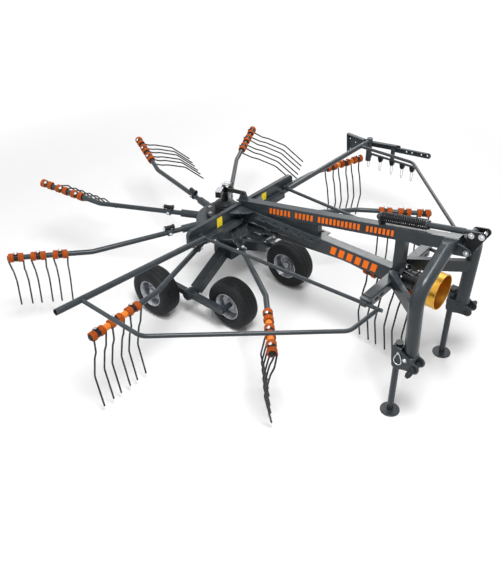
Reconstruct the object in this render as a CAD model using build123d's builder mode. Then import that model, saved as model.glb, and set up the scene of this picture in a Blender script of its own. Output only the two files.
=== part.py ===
"""Mounted single-rotor hay rake, in millimetres.

+X points to the tractor, +Y to the left (the swath side) and +Z up. The origin lies on
the ground below the middle of the machine; the rotor turns about a vertical axis at
(ROTOR_X, ROTOR_Y). Plan coordinates below are counted from that axis.
"""
from build123d import *
from math import cos, radians, sin, tan
import os

# Place of the rotor axis in the part's frame
ROTOR_X = -200.135
ROTOR_Y = -2.231

# Fits between pieces
SEAT_GAP = 0.2
RUN_GAP = 0.3

# Rotor: arms in a circle, cranked backwards near their outer ends
ARM_COUNT = 9
FIRST_ARM_ANGLE = 6.7
ARM_Z = 640.0
ARM_R = 19.0
ARM_ROOT = 240.0
ARM_CRANK_AT = 1055.0
ARM_CRANK_ANGLE = 13.5
ARM_CRANK_RADIUS = 150.0
ARM_END_RUN = 575.0
COLLAR_AT = 465.0
COLLAR_R = 29.0
COLLAR_LENGTH = 30.0
COLLAR_LUG = 22.0
# How far the cam turns each arm's cranked end and lifts its tines, counted with the rotor's turn
CRANK_LIFT = (0.0, 0.0, 0.0, 30.0, 30.0, 30.0, 16.0, 0.0, 0.0)
TINE_LIFT = (0.0, 0.0, 0.0, 59.0, 58.0, 53.0, 20.0, 0.0, 0.0)

# Spring tines: three double tines on each arm
TINES_PER_ARM = 6
TINE_FIRST = 189.0
PAIR_PITCH = 150.0
PAIR_SPREAD = 65.0
CLAMP_R = 27.0
CLAMP_GAP = 2.0
TINE_WIRE_R = 5.0
COIL_R = 34.0
COIL_LENGTH = 34.0
# Tine centre line: lead is ahead of the arm, drop is below it
TINE_ROOT_LEAD = 28.0
TINE_KNEE_LEAD = -45.0
TINE_KNEE_DROP = 347.0
TINE_TIP_LEAD = 0.0
TINE_TIP_DROP = 587.0
TINE_BEND = 60.0

# Rotor hub and the fixed column that it turns on
HUB_R = 230.0
HUB_BOTTOM = 535.0
HUB_TOP = 670.0
HUB_BORE = 46.0
HUB_FOOT_R = 165.0
HUB_TAPER = 36.0
HUB_WALL_FOOT = 58.0
HUB_EDGE = 14.0
SLEEVE_R = 30.0
SLEEVE_REACH = 360.0
COLUMN_R = 40.0
THRUST_R = 85.0
THRUST_H = 12.0
BEARING_H = 24.0

# Gearbox over the rotor
DISC_R = 150.0
DISC_BOTTOM = 700.0
DISC_H = 20.0
GEARBOX_R = 76.0
GEARBOX_H = 62.0
DOME_H = 22.0
NECK_R = 28.0
NECK_H = 72.0
CRANK_R = 11.0
CRANK_RISE = 60.0
CRANK_ARM = 110.0
CRANK_AIM = 297.0
GRIP_LENGTH = 78.0
GRIP_W = 40.0
GRIP_H = 46.0
LINK_W = 30.0
LINK_T = 10.0

# Cross beam behind the main beam: an upright web with a foot on the disc
CROSS_REAR = 80.0
CROSS_WEB_T = 28.0
CROSS_FOOT_T = 16.0
CROSS_FOOT_HALF = 210.0
CROSS_FRONT = 200.0
CROSS_HALF = 590.0
CROSS_H = 140.0
CROSS_CORNER = 40.0
LIP_S = 42.0
LIP_IN = 70.0
LIP_OUT = 440.0

# Main beam and the sloping top beam
BEAM_W = 80.0
BEAM_BOTTOM = 735.0
BEAM_H = 97.0
BEAM_FRONT = 1480.0
BEAM_EDGE = 8.0
TOP_SLOPE = 11.2
TOP_RISE_START = 402.0
TOP_W = 60.0
TOP_H = 86.0
TOP_REAR = 147.0
TOP_FRONT = 1880.0
POST_INSET = 5.0
WEDGE_T = 48.0
WEDGE_FRONT = 890.0
LUG_T = 16.0
LUG_REAR = 150.0
LUG_FOOT = 86.0
LUG_RISE = 72.0
LUG_HOLE_R = 11.0

# Storage racks for unplugged arms
RACK_REAR = 380.0
RACK_FRONT = 920.0
RACK_W = 52.0
RACK_T = 8.0
RACK_HOLES = 5
RACK_PITCH = 110.0
RACK_HOLE_R = 11.0
RACK_NOTCH = 26.0
RACK_NOTCH_DEPTH = 12.0

# Headstock
ARCH_R = 44.5
ARCH_X = 1845.0
ARCH_FOOT_Y = 345.0
ARCH_FOOT_Z = 460.0
ARCH_KNEE_Y = 397.0
ARCH_KNEE_Z = 999.0
ARCH_TOP_Z = 1217.0
ARCH_KNEE_RADIUS = 150.0
STRUT_W = 85.0
STRUT_T = 36.0
STRUT_REAR_Y = 95.0
STRUT_REAR_Z = 820.0
STRUT_FRONT_Y = 350.0
STRUT_FRONT_Z = 810.0

# Lower hitch, category 2
HITCH_OUT = 412.5
HITCH_GAP = 68.5
HITCH_T = 12.0
HITCH_TOP = 520.0
HITCH_BOTTOM = 405.0
HITCH_CORNER = 14.0
HITCH_REAR = 1730.0
HITCH_FRONT = 1925.0
LINK_PIN_R = 14.0
LINK_PIN_X = 1895.0
LINK_PIN_Z = 456.0
LINK_PIN_FREE = 60.0
LINK_SHOULDER = 6.0
LINK_COLLAR_R = 21.0

# Stand legs
STAND_X = 1767.0
STAND_R = 21.0
STAND_TOP = 575.0
STAND_CAP_R = 25.0
STAND_CAP_H = 10.0
STAND_FOOT_R = 65.0
STAND_FOOT_H = 10.0
STAND_SLEEVE = 30.0
STAND_SLEEVE_BOTTOM = 385.0

# Top link rocker with its spring
ROCKER_T = 9.0
ROCKER_GAP = 56.0
PIVOT_X = 1950.0
PIVOT_Z = 1150.0
ROD_PIN_X = 1956.0
ROD_PIN_Z = 1268.0
TOP_PIN_X = 2016.0
TOP_PIN_Z = 1280.0
ROCKER_PAD = 24.0
ROCKER_PIN_R = 12.5
PIN_HEAD_R = 19.0
PIN_HEAD_H = 8.0
MAST_LUG_T = 12.0
MAST_LUG_PAD = 26.0
MAST_LUG_DROP = 62.0
MAST_LUG_RISE = 34.0
MAST_LUG_REAR = 1862.0
SPRING_R = 29.0
SPRING_WIRE = 8.0
SPRING_TURNS = 20
SPRING_LENGTH = 310.0
ROD_R = 12.0
ROD_EYE_R = 22.0
ROD_EYE_W = 34.0
ROD_TUBE_R = 19.0
ROD_TUBE_END = 58.0
ROD_COLLAR_H = 14.0
SPRING_SEAT_X = 1352.0
SPRING_STANDOFF = 46.5
SPRING_SEAT_T = 12.0
SPRING_SEAT_W = 64.0
ROD_NUT_R = 19.0
ROD_NUT_H = 18.0

# Drive input
SHAFT_Z = 785.0
FLANGE_R = 86.0
FLANGE_T = 22.0
BEARING_R = 62.0
BEARING_T = 128.0
SHAFT_R = 17.5
SHAFT_FRONT = 1795.0
SHAFT_HEAD_R = 30.0
SHIELD_R = 118.0
SHIELD_WALL = 4.0
SHIELD_BACK_GAP = 6.0
SHIELD_LIP = 2.5
SHIELD_LIP_H = 8.0
SHIELD_FRONT = 1835.0

# Front bar and the folding guards on both sides
FRONT_BAR_S = 70.0
FRONT_BAR_BOTTOM = 750.0
FRONT_BAR_EDGE = 7.0
BAR_SLOT = 42.0
BAR_SLOT_H = 18.0
BAR_SLOT_FIRST = 255.0
BAR_SLOT_PITCH = 62.0
GUARD_Z = 782.0
GUARD_RIGHT_RAISE = 4.2
STAY_R = 12.5
STAY_REAR_X = 201.0
STAY_REAR_Y = 480.0
STAY_FRONT_X = 1640.0
STAY_FRONT_Y = 398.0
HINGE_T = 12.0
HINGE_HALF = 17.0
HINGE_BLOCK = 34.0
HINGE_WALL = 9.0
HINGE_WEB = 22.0
GUARD_X = 242.0
GUARD_R = 21.0
GUARD_WALL = 4.0
GUARD_RIGHT_END = 1720.0
GUARD_LEFT_END = 1610.0
HOOP_R = 13.5
HOOP_BEND = 90.0
HOOP_Y = 1540.0
HOOP_CORNER_X = 772.0
HOOP_FRONT_X = 1605.0
HOOP_FRONT_Y = 705.0

# Swath former on the left guard
SLIDE_TUBE_R = 16.7
SLIDE_TUBE_IN = 560.0
FORMER_Y = 1700.0
FORMER_BAR_H = 70.0
FORMER_BAR_T = 12.0
FORMER_BAR_Z = 765.0
FORMER_BAR_FRONT = 850.0
FORMER_BAR_HOLES = 5
FORMER_BAR_HOLE_R = 9.0
FORMER_PLATE_REAR = 5.0
FORMER_PLATE_BOTTOM = 630.0
FORMER_POST_R = 18.0
FORMER_SLEEVE_R = 26.0
FORMER_POST_BOTTOM = 640.0
FORMER_POST_TOP = 850.0
FORMER_ARM_X = 500.0
FORMER_LOW_FRONT = 720.0
FORMER_LOW_Z = 660.0
FORMER_LOW_S = 30.0
HAIRPINS = 5
HAIRPIN_FIRST = 300.0
HAIRPIN_PITCH = 97.0
HAIRPIN_DROP = 120.0
HAIRPIN_WIRE_R = 4.0
HAIRPIN_SPREAD = 40.0
HOLDER_W = 46.0
HOLDER_S = 26.0

# Undercarriage
AXLE_X = 44.0
AXLE_ROOT_X = 38.0
AXLE_BLOCK_TOP = 440.0
AXLE_BLOCK_H = 90.0
AXLE_BLOCK_REAR = -50.0
AXLE_BLOCK_FRONT = 135.0
AXLE_BLOCK_HALF = 90.0
AXLE_ARM = 76.0
PIVOT_Y = 475.0
AXLE_Z = 200.0
PIVOT_R = 25.0
TANDEM_W = 60.0
TANDEM_H = 66.0
TANDEM_END = 42.0
PIVOT_BOSS_R = 46.0
STUB_R = 20.0
PIVOT_CAP_R = 38.0
PIVOT_CAP_H = 12.0

# Wheels: place, track and side of the tandem that each stands on
FRONT_WHEEL_X = 375.0
FRONT_WHEEL_Y = 349.0
REAR_WHEEL_X = -190.0
REAR_WHEEL_Y = 605.0
TYRE_R = 200.0
TYRE_W = 160.0
RIM_R = 101.5
RIM_W = 140.0
RIM_HUB_R = 42.0
RIM_DISC_T = 10.0

SIDES = (("right", -1), ("left", 1))
SLOPE = tan(radians(TOP_SLOPE))

os.makedirs("parts", exist_ok=True)


def spot(x, y, z):
    """Point counted from the rotor axis, in the part's frame."""
    return Vector(x + ROTOR_X, y + ROTOR_Y, z)


def plane_at(x, y, z, facing, across):
    """Work plane at a point, with its normal and the direction of its own x."""
    return Plane(origin=spot(x, y, z), x_dir=across, z_dir=facing)


def side_plane(y):
    """Upright plane along the machine: its x is forward and its y is up."""
    return plane_at(0, y, 0, (0, -1, 0), (1, 0, 0))


def front_plane(x):
    """Upright plane across the machine: its x is to the left and its y is up."""
    return plane_at(x, 0, 0, (1, 0, 0), (0, 1, 0))


def level_plane(z):
    """Level plane at a height, centred on the rotor axis."""
    return plane_at(0, 0, z, (0, 0, 1), (1, 0, 0))


def round_bar(start, end, radius, mode=Mode.ADD):
    """Straight round bar between two points."""
    run = end - start
    across = Vector(0, 0, 1) if abs(run.normalized().Z) < 0.9 else Vector(1, 0, 0)
    with BuildSketch(Plane(origin=start, x_dir=across.cross(run), z_dir=run)) as section:
        Circle(radius)
    extrude(section.sketch, amount=run.length, mode=mode)


def bent_bar(points, bend, radius):
    """Round bar along straight runs that are joined by bends."""
    with BuildLine() as route:
        FilletPolyline(*points, radius=bend)
    with BuildSketch(Plane(origin=route.line @ 0, z_dir=route.line % 0)) as section:
        Circle(radius)
    sweep(section.sketch, path=route.line)


def block(low, high, mode=Mode.ADD):
    """Upright block between two opposite corners."""
    size = high - low
    with Locations(low + size * 0.5):
        Box(size.X, size.Y, size.Z, mode=mode)


def flat_bar(start, end, width, thickness):
    """Straight bar of rectangular section between two points, its width in the upright plane."""
    run = end - start
    level = Vector(0, 0, 1).cross(run)
    with BuildSketch(Plane(origin=start, x_dir=level, z_dir=run)) as section:
        Rectangle(thickness, width)
    extrude(section.sketch, amount=run.length)


def side_plate(y, thickness, outline, corner=0.0):
    """Plate along the machine, centred on y, with an outline of x and z and rounded corners."""
    with BuildSketch(side_plane(y)) as plate:
        with BuildLine():
            Polyline(*outline, close=True)
        make_face()
        if corner:
            fillet(plate.vertices(), corner)
    extrude(plate.sketch, amount=thickness / 2, both=True)


def write(piece, name):
    """Label a finished sub-part and write its file."""
    piece.part.label = name
    export_step(piece.part, f"parts/{name}.step")


# Beams
beam_top = BEAM_BOTTOM + BEAM_H
cross_bottom = DISC_BOTTOM + DISC_H
cross_top = cross_bottom + CROSS_H

with BuildPart() as cross_beam:
    with BuildSketch(front_plane(CROSS_FRONT)):
        with Locations((0, cross_bottom + CROSS_H / 2)):
            RectangleRounded(2 * CROSS_HALF, CROSS_H, CROSS_CORNER)
    extrude(amount=-CROSS_WEB_T)
    block(spot(CROSS_REAR, -CROSS_FOOT_HALF, cross_bottom),
          spot(CROSS_FRONT, CROSS_FOOT_HALF, cross_bottom + CROSS_FOOT_T))
    for name, side in SIDES:
        lip_ends = sorted((side * LIP_IN, side * LIP_OUT))
        block(spot(CROSS_FRONT, lip_ends[0], cross_bottom),
              spot(CROSS_FRONT + LIP_S, lip_ends[1], cross_bottom + LIP_S))
write(cross_beam, "cross_beam")

with BuildPart() as main_beam:
    block(spot(CROSS_FRONT, -BEAM_W / 2, BEAM_BOTTOM), spot(BEAM_FRONT, BEAM_W / 2, beam_top))
    fillet(main_beam.edges().filter_by(Axis.X), BEAM_EDGE)
write(main_beam, "main_beam")


bar_front = BEAM_FRONT + FRONT_BAR_S
bar_middle = BEAM_FRONT + FRONT_BAR_S / 2
bar_top = FRONT_BAR_BOTTOM + FRONT_BAR_S


def stay_point(x, side):
    """Point of a guard's hinge line at x."""
    share = (x - STAY_REAR_X) / (STAY_FRONT_X - STAY_REAR_X)
    return spot(x, side * (STAY_REAR_Y + (STAY_FRONT_Y - STAY_REAR_Y) * share), GUARD_Z)


stay_at_bar = stay_point(bar_middle, 1).Y - ROTOR_Y
bar_half = stay_at_bar - STAY_R - HINGE_WEB

with BuildPart() as front_bar:
    block(spot(BEAM_FRONT, -bar_half, FRONT_BAR_BOTTOM), spot(bar_front, bar_half, bar_top))
    fillet(front_bar.edges().filter_by(Axis.Y), FRONT_BAR_EDGE)
    with BuildSketch(front_plane(BEAM_FRONT)):
        for name, side in SIDES:
            for slot in range(2):
                slot_y = side * (BAR_SLOT_FIRST + slot * BAR_SLOT_PITCH)
                with Locations((slot_y, FRONT_BAR_BOTTOM + FRONT_BAR_S / 2)):
                    SlotOverall(BAR_SLOT, BAR_SLOT_H)
    extrude(amount=FRONT_BAR_S, mode=Mode.SUBTRACT)
    for name, side in SIDES:
        ledge_ends = sorted((side * (bar_half - FRONT_BAR_EDGE), side * stay_at_bar))
        block(spot(BEAM_FRONT, ledge_ends[0], GUARD_Z + STAY_R + HINGE_WALL + SEAT_GAP),
              spot(bar_front, ledge_ends[1], bar_top - FRONT_BAR_EDGE))
write(front_bar, "front_bar")


def top_edge(x):
    """Height of the top beam's under side at x."""
    return beam_top + max(0.0, x - TOP_RISE_START) * SLOPE


def beam_crown(x):
    """Height of the top beam's upper side at x."""
    return beam_top + (x - TOP_RISE_START) * SLOPE + TOP_H


with BuildPart() as top_beam:
    side_plate(0, TOP_W, (
        (TOP_REAR, cross_top),
        (CROSS_FRONT, cross_top),
        (CROSS_FRONT, beam_top),
        (TOP_RISE_START, beam_top),
        (TOP_FRONT, top_edge(TOP_FRONT)),
        (TOP_FRONT, beam_crown(TOP_FRONT)),
        (TOP_REAR, beam_crown(TOP_REAR)),
    ))
    side_plate(0, WEDGE_T, (
        (TOP_RISE_START, beam_top),
        (WEDGE_FRONT, beam_top),
        (WEDGE_FRONT, top_edge(WEDGE_FRONT)),
    ))
    lug_foot_z = beam_crown(LUG_REAR)
    lug_hole_z = lug_foot_z + LUG_RISE - 2 * LUG_HOLE_R
    side_plate(0, LUG_T, (
        (LUG_REAR, cross_top),
        (LUG_REAR + LUG_FOOT, cross_top),
        (LUG_REAR + LUG_FOOT, beam_crown(LUG_REAR + LUG_FOOT)),
        (LUG_REAR + LUG_FOOT * 0.68, lug_foot_z + LUG_RISE),
        (LUG_REAR + LUG_FOOT * 0.32, lug_foot_z + LUG_RISE),
        (LUG_REAR, lug_foot_z),
    ))
    with BuildSketch(side_plane(0)):
        with Locations((LUG_REAR + LUG_FOOT / 2, lug_hole_z)):
            Circle(LUG_HOLE_R)
    extrude(amount=LUG_T, both=True, mode=Mode.SUBTRACT)
    side_plate(0, TOP_W, (
        (BEAM_FRONT + POST_INSET, bar_top),
        (bar_front, bar_top),
        (bar_front, top_edge(bar_front)),
        (BEAM_FRONT + POST_INSET, top_edge(BEAM_FRONT + POST_INSET)),
    ))
write(top_beam, "top_beam")

foot_slope = (ARCH_FOOT_Y - ARCH_KNEE_Y) / (ARCH_KNEE_Z - ARCH_FOOT_Z)

arch_rear = ARCH_X - 2 * ARCH_R
arch_front = ARCH_X + 2 * ARCH_R
arch_over = ARCH_TOP_Z + 2 * ARCH_R


def arch_leg(side, radius):
    """One leg of the headstock: up from the hitch, over its knee and in to the top beam."""
    bent_bar([
        spot(ARCH_X, side * (ARCH_FOOT_Y + foot_slope * ARCH_R), ARCH_FOOT_Z - ARCH_R),
        spot(ARCH_X, side * ARCH_KNEE_Y, ARCH_KNEE_Z),
        spot(ARCH_X, 0, ARCH_TOP_Z),
    ], ARCH_KNEE_RADIUS, radius)


with BuildPart() as headstock_arch:
    for name, side in SIDES:
        arch_leg(side, ARCH_R)
    split(bisect_by=Plane.XY.offset(HITCH_TOP), keep=Keep.TOP)
    block(spot(arch_rear, -TOP_W / 2, ARCH_KNEE_Z), spot(arch_front, TOP_W / 2, arch_over), Mode.SUBTRACT)
    with BuildSketch(side_plane(0)) as over_beam:
        with BuildLine():
            Polyline(
                (arch_rear, beam_crown(arch_rear)),
                (arch_front, beam_crown(arch_front)),
                (arch_front, arch_over),
                (arch_rear, arch_over),
                close=True,
            )
        make_face()
    extrude(over_beam.sketch, amount=ARCH_KNEE_Y, both=True, mode=Mode.SUBTRACT)
write(headstock_arch, "headstock_arch")

with BuildPart() as arch_clear:
    for name, side in SIDES:
        arch_leg(side, ARCH_R + SEAT_GAP)

with BuildPart() as arm_racks:
    for name, side in SIDES:
        inner = side * BEAM_W / 2
        outer = side * (BEAM_W / 2 + RACK_W)
        rack_top = beam_top - BEAM_EDGE
        block(spot(RACK_REAR, min(inner, outer), rack_top - RACK_T),
              spot(RACK_FRONT, max(inner, outer), rack_top))
        rack_middle = (RACK_REAR + RACK_FRONT) / 2
        with BuildSketch(level_plane(rack_top)):
            with Locations((rack_middle, (inner + outer) / 2)):
                with GridLocations(RACK_PITCH, 1, RACK_HOLES, 1):
                    Circle(RACK_HOLE_R)
            with Locations((rack_middle, outer)):
                with GridLocations(RACK_PITCH, 1, RACK_HOLES - 1, 1):
                    Rectangle(RACK_NOTCH, 2 * RACK_NOTCH_DEPTH)
        extrude(amount=-RACK_T, mode=Mode.SUBTRACT)
write(arm_racks, "arm_racks")

# Headstock struts and hitch
with BuildPart() as headstock_braces:
    for name, side in SIDES:
        flat_bar(spot(bar_middle, side * STRUT_REAR_Y, STRUT_REAR_Z),
                 spot(ARCH_X, side * STRUT_FRONT_Y, STRUT_FRONT_Z), STRUT_W, STRUT_T)
    add(arch_clear.part, mode=Mode.SUBTRACT)
    add(front_bar.part, mode=Mode.SUBTRACT)
    strut_pieces = headstock_braces.solids().sort_by(SortBy.VOLUME)
    add(strut_pieces[-2:], mode=Mode.INTERSECT)
write(headstock_braces, "headstock_braces")

hitch_mid = HITCH_OUT - HITCH_T - HITCH_GAP / 2
hitch_in = HITCH_OUT - HITCH_T - HITCH_GAP - HITCH_T

with BuildPart() as hitch_plates:
    for name, side in SIDES:
        for plate_y in (HITCH_OUT - HITCH_T / 2, hitch_in + HITCH_T / 2):
            side_plate(side * plate_y, HITCH_T, (
                (HITCH_REAR, HITCH_TOP),
                (HITCH_REAR, STAND_SLEEVE_BOTTOM + 20),
                (HITCH_REAR + 20, STAND_SLEEVE_BOTTOM),
                (STAND_X + STAND_SLEEVE + 8, STAND_SLEEVE_BOTTOM),
                (LINK_PIN_X, HITCH_BOTTOM + 15),
                (HITCH_FRONT, HITCH_BOTTOM + 30),
                (HITCH_FRONT, HITCH_TOP - 30),
                (HITCH_FRONT - 30, HITCH_TOP),
            ), HITCH_CORNER)
        gap_low = side * hitch_mid - HITCH_GAP / 2
        gap_high = side * hitch_mid + HITCH_GAP / 2
        block(spot(STAND_X - STAND_SLEEVE, gap_low, STAND_SLEEVE_BOTTOM),
              spot(STAND_X + STAND_SLEEVE, gap_high, HITCH_TOP))
        block(spot(STAND_X + STAND_SLEEVE, gap_low, HITCH_TOP - HITCH_T),
              spot(HITCH_FRONT - 30, gap_high, HITCH_TOP))
        round_bar(spot(STAND_X, side * hitch_mid, 0), spot(STAND_X, side * hitch_mid, HITCH_TOP),
                  STAND_R + RUN_GAP, Mode.SUBTRACT)
        round_bar(spot(LINK_PIN_X, side * (hitch_in - HITCH_T), LINK_PIN_Z),
                  spot(LINK_PIN_X, side * (HITCH_OUT + HITCH_T), LINK_PIN_Z),
                  LINK_PIN_R + SEAT_GAP, Mode.SUBTRACT)
write(hitch_plates, "hitch_plates")

shoulder_out = HITCH_OUT + LINK_SHOULDER

with BuildPart() as lower_link_pins:
    for name, side in SIDES:
        round_bar(spot(LINK_PIN_X, side * (hitch_in - PIN_HEAD_H), LINK_PIN_Z),
                  spot(LINK_PIN_X, side * (shoulder_out + LINK_PIN_FREE), LINK_PIN_Z), LINK_PIN_R)
        round_bar(spot(LINK_PIN_X, side * (HITCH_OUT + SEAT_GAP), LINK_PIN_Z),
                  spot(LINK_PIN_X, side * shoulder_out, LINK_PIN_Z), LINK_COLLAR_R)
        round_bar(spot(LINK_PIN_X, side * (hitch_mid - HITCH_GAP / 2 + SEAT_GAP), LINK_PIN_Z),
                  spot(LINK_PIN_X, side * (hitch_mid + HITCH_GAP / 2 - SEAT_GAP), LINK_PIN_Z),
                  LINK_COLLAR_R)
write(lower_link_pins, "lower_link_pins")

for name, side in SIDES:
    with BuildPart() as stand:
        with BuildSketch(plane_at(STAND_X, side * hitch_mid, 0, (0, 0, 1), (1, 0, 0))):
            Circle(STAND_FOOT_R)
        extrude(amount=STAND_FOOT_H)
        fillet(stand.edges().group_by(Axis.Z)[-1], 4)
        round_bar(spot(STAND_X, side * hitch_mid, STAND_FOOT_H),
                  spot(STAND_X, side * hitch_mid, STAND_TOP), STAND_R)
        round_bar(spot(STAND_X, side * hitch_mid, STAND_TOP),
                  spot(STAND_X, side * hitch_mid, STAND_TOP + STAND_CAP_H), STAND_CAP_R)
    write(stand, f"stand_{name}")

# Top link rocker, its pins, the mast lug and the spring
rocker_out = ROCKER_GAP / 2 + ROCKER_T
lug_out = rocker_out + SEAT_GAP + MAST_LUG_T

with BuildPart() as mast_lug:
    for side in (-1, 1):
        with BuildSketch(side_plane(side * (rocker_out + SEAT_GAP + MAST_LUG_T / 2))) as lug_outline:
            with Locations((PIVOT_X, PIVOT_Z)):
                Circle(MAST_LUG_PAD)
            for lug_z in (PIVOT_Z - MAST_LUG_DROP / 2, PIVOT_Z + MAST_LUG_RISE):
                with Locations((MAST_LUG_REAR, lug_z)):
                    Circle(MAST_LUG_PAD / 2)
            make_hull()
        extrude(amount=MAST_LUG_T / 2, both=True)
    add(arch_clear.part, mode=Mode.SUBTRACT)
    add(top_beam.part, mode=Mode.SUBTRACT)
    round_bar(spot(PIVOT_X, -2 * lug_out, PIVOT_Z), spot(PIVOT_X, 2 * lug_out, PIVOT_Z),
              ROCKER_PIN_R + SEAT_GAP, Mode.SUBTRACT)
    lug_pieces = mast_lug.solids().sort_by(Axis.X)
    add(lug_pieces[-2:], mode=Mode.INTERSECT)
write(mast_lug, "mast_lug")

rocker_pins = ((PIVOT_X, PIVOT_Z), (ROD_PIN_X, ROD_PIN_Z), (TOP_PIN_X, TOP_PIN_Z))

with BuildPart() as rocker_plates:
    for side in (-1, 1):
        with BuildSketch(side_plane(side * (ROCKER_GAP + ROCKER_T) / 2)) as rocker_outline:
            with Locations(*rocker_pins):
                Circle(ROCKER_PAD)
            make_hull()
        extrude(amount=ROCKER_T / 2, both=True)
    add(arch_clear.part, mode=Mode.SUBTRACT)
    for pin_x, pin_z in rocker_pins:
        round_bar(spot(pin_x, -ROCKER_GAP, pin_z), spot(pin_x, ROCKER_GAP, pin_z),
                  ROCKER_PIN_R + SEAT_GAP, Mode.SUBTRACT)
write(rocker_plates, "rocker_plates")

# Pins: place and half length up to their heads
pin_table = (
    (PIVOT_X, PIVOT_Z, lug_out + SEAT_GAP),
    (ROD_PIN_X, ROD_PIN_Z, rocker_out + SEAT_GAP),
    (TOP_PIN_X, TOP_PIN_Z, rocker_out + SEAT_GAP),
)

with BuildPart() as rocker_pin_set:
    for pin_x, pin_z, pin_reach in pin_table:
        round_bar(spot(pin_x, -pin_reach - PIN_HEAD_H, pin_z),
                  spot(pin_x, pin_reach + PIN_HEAD_H, pin_z), ROCKER_PIN_R)
        for side in (-1, 1):
            round_bar(spot(pin_x, side * pin_reach, pin_z),
                      spot(pin_x, side * (pin_reach + PIN_HEAD_H), pin_z), PIN_HEAD_R)
write(rocker_pin_set, "rocker_pins")

spring_seat_z = beam_crown(SPRING_SEAT_X) + SPRING_STANDOFF
rod_along = Vector(ROD_PIN_X - SPRING_SEAT_X, 0, ROD_PIN_Z - spring_seat_z).normalized()
rod_start = spot(SPRING_SEAT_X, 0, spring_seat_z)
rod_eye = spot(ROD_PIN_X, 0, ROD_PIN_Z)
spring_start = rod_start + rod_along * (SPRING_SEAT_T / 2 + SEAT_GAP)
spring_end = spring_start + rod_along * SPRING_LENGTH

with BuildPart() as spring_rod:
    round_bar(rod_start - rod_along * (ROD_NUT_H + SPRING_SEAT_T), rod_eye, ROD_R)
    round_bar(rod_start - rod_along * (ROD_NUT_H + SPRING_SEAT_T / 2 + SEAT_GAP),
              rod_start - rod_along * (SPRING_SEAT_T / 2 + SEAT_GAP), ROD_NUT_R)
    round_bar(spring_end + rod_along * SEAT_GAP, spring_end + rod_along * ROD_COLLAR_H, SPRING_R)
    round_bar(spring_end + rod_along * ROD_COLLAR_H, rod_eye - rod_along * ROD_TUBE_END, ROD_TUBE_R)
    round_bar(rod_eye - Vector(0, ROD_EYE_W / 2, 0), rod_eye + Vector(0, ROD_EYE_W / 2, 0), ROD_EYE_R)
    round_bar(rod_eye - Vector(0, ROD_EYE_W, 0), rod_eye + Vector(0, ROD_EYE_W, 0),
              ROCKER_PIN_R + SEAT_GAP, Mode.SUBTRACT)
write(spring_rod, "spring_rod")

with BuildPart() as spring:
    spring_pitch = SPRING_LENGTH / SPRING_TURNS
    with BuildSketch(Plane(origin=spring_start, x_dir=rod_along, z_dir=(0, -1, 0))):
        with BuildLine():
            crests = [(0, SPRING_R - SPRING_WIRE), (0, SPRING_R - SPRING_WIRE / 2)]
            for turn in range(SPRING_TURNS):
                crests.append(((turn + 0.5) * spring_pitch, SPRING_R))
                crests.append(((turn + 1) * spring_pitch, SPRING_R - SPRING_WIRE / 2))
            crests.append((SPRING_LENGTH, SPRING_R - SPRING_WIRE))
            Polyline(*crests, close=True)
        make_face()
    revolve(axis=Axis(spring_start, rod_along))
write(spring, "spring")

with BuildPart() as spring_seat:
    seat_across = Vector(0, 1, 0)
    with BuildSketch(Plane(origin=rod_start, x_dir=seat_across, z_dir=rod_along)) as seat_face:
        Circle(SPRING_SEAT_W / 2)
        with Locations((0, -SPRING_SEAT_W / 2)):
            Rectangle(SPRING_SEAT_W, SPRING_SEAT_W)
        Circle(ROD_R + SEAT_GAP, mode=Mode.SUBTRACT)
    extrude(amount=SPRING_SEAT_T / 2, both=True)
    add(top_beam.part, mode=Mode.SUBTRACT)
    seat_pieces = spring_seat.solids().sort_by(Axis.Z)
    add(seat_pieces[-1], mode=Mode.INTERSECT)
write(spring_seat, "spring_seat")

# Drive input with its shield
flange_front = bar_front + FLANGE_T
shield_back = flange_front + BEARING_T

with BuildPart() as input_housing:
    with BuildSketch(front_plane(bar_front)):
        with Locations((0, SHAFT_Z)):
            Circle(FLANGE_R)
    extrude(amount=FLANGE_T)
    with BuildSketch(front_plane(flange_front)):
        with Locations((0, SHAFT_Z)):
            Circle(BEARING_R)
    extrude(amount=BEARING_T)
    round_bar(spot(bar_front, 0, SHAFT_Z), spot(shield_back, 0, SHAFT_Z), SHAFT_R + RUN_GAP, Mode.SUBTRACT)
write(input_housing, "input_housing")

with BuildPart() as pto_shield:
    with BuildSketch(front_plane(shield_back)):
        with Locations((0, SHAFT_Z)):
            Circle(SHIELD_R)
            Circle(SHIELD_R - SHIELD_WALL, mode=Mode.SUBTRACT)
    extrude(amount=SHIELD_FRONT - shield_back)
    with BuildSketch(front_plane(shield_back)):
        with Locations((0, SHAFT_Z)):
            Circle(SHIELD_R)
            Circle(SHAFT_HEAD_R + SHIELD_BACK_GAP, mode=Mode.SUBTRACT)
    extrude(amount=SHIELD_WALL)
    with BuildSketch(front_plane(SHIELD_FRONT - SHIELD_LIP_H)):
        with Locations((0, SHAFT_Z)):
            Circle(SHIELD_R + SHIELD_LIP)
            Circle(SHIELD_R - SHIELD_WALL, mode=Mode.SUBTRACT)
    extrude(amount=SHIELD_LIP_H)
write(pto_shield, "pto_shield")

with BuildPart() as input_shaft:
    round_bar(spot(bar_front + RUN_GAP, 0, SHAFT_Z), spot(SHAFT_FRONT, 0, SHAFT_Z), SHAFT_R)
    round_bar(spot(shield_back + RUN_GAP, 0, SHAFT_Z),
              spot(shield_back + SHAFT_HEAD_R, 0, SHAFT_Z), SHAFT_HEAD_R)
write(input_shaft, "input_shaft")

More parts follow.
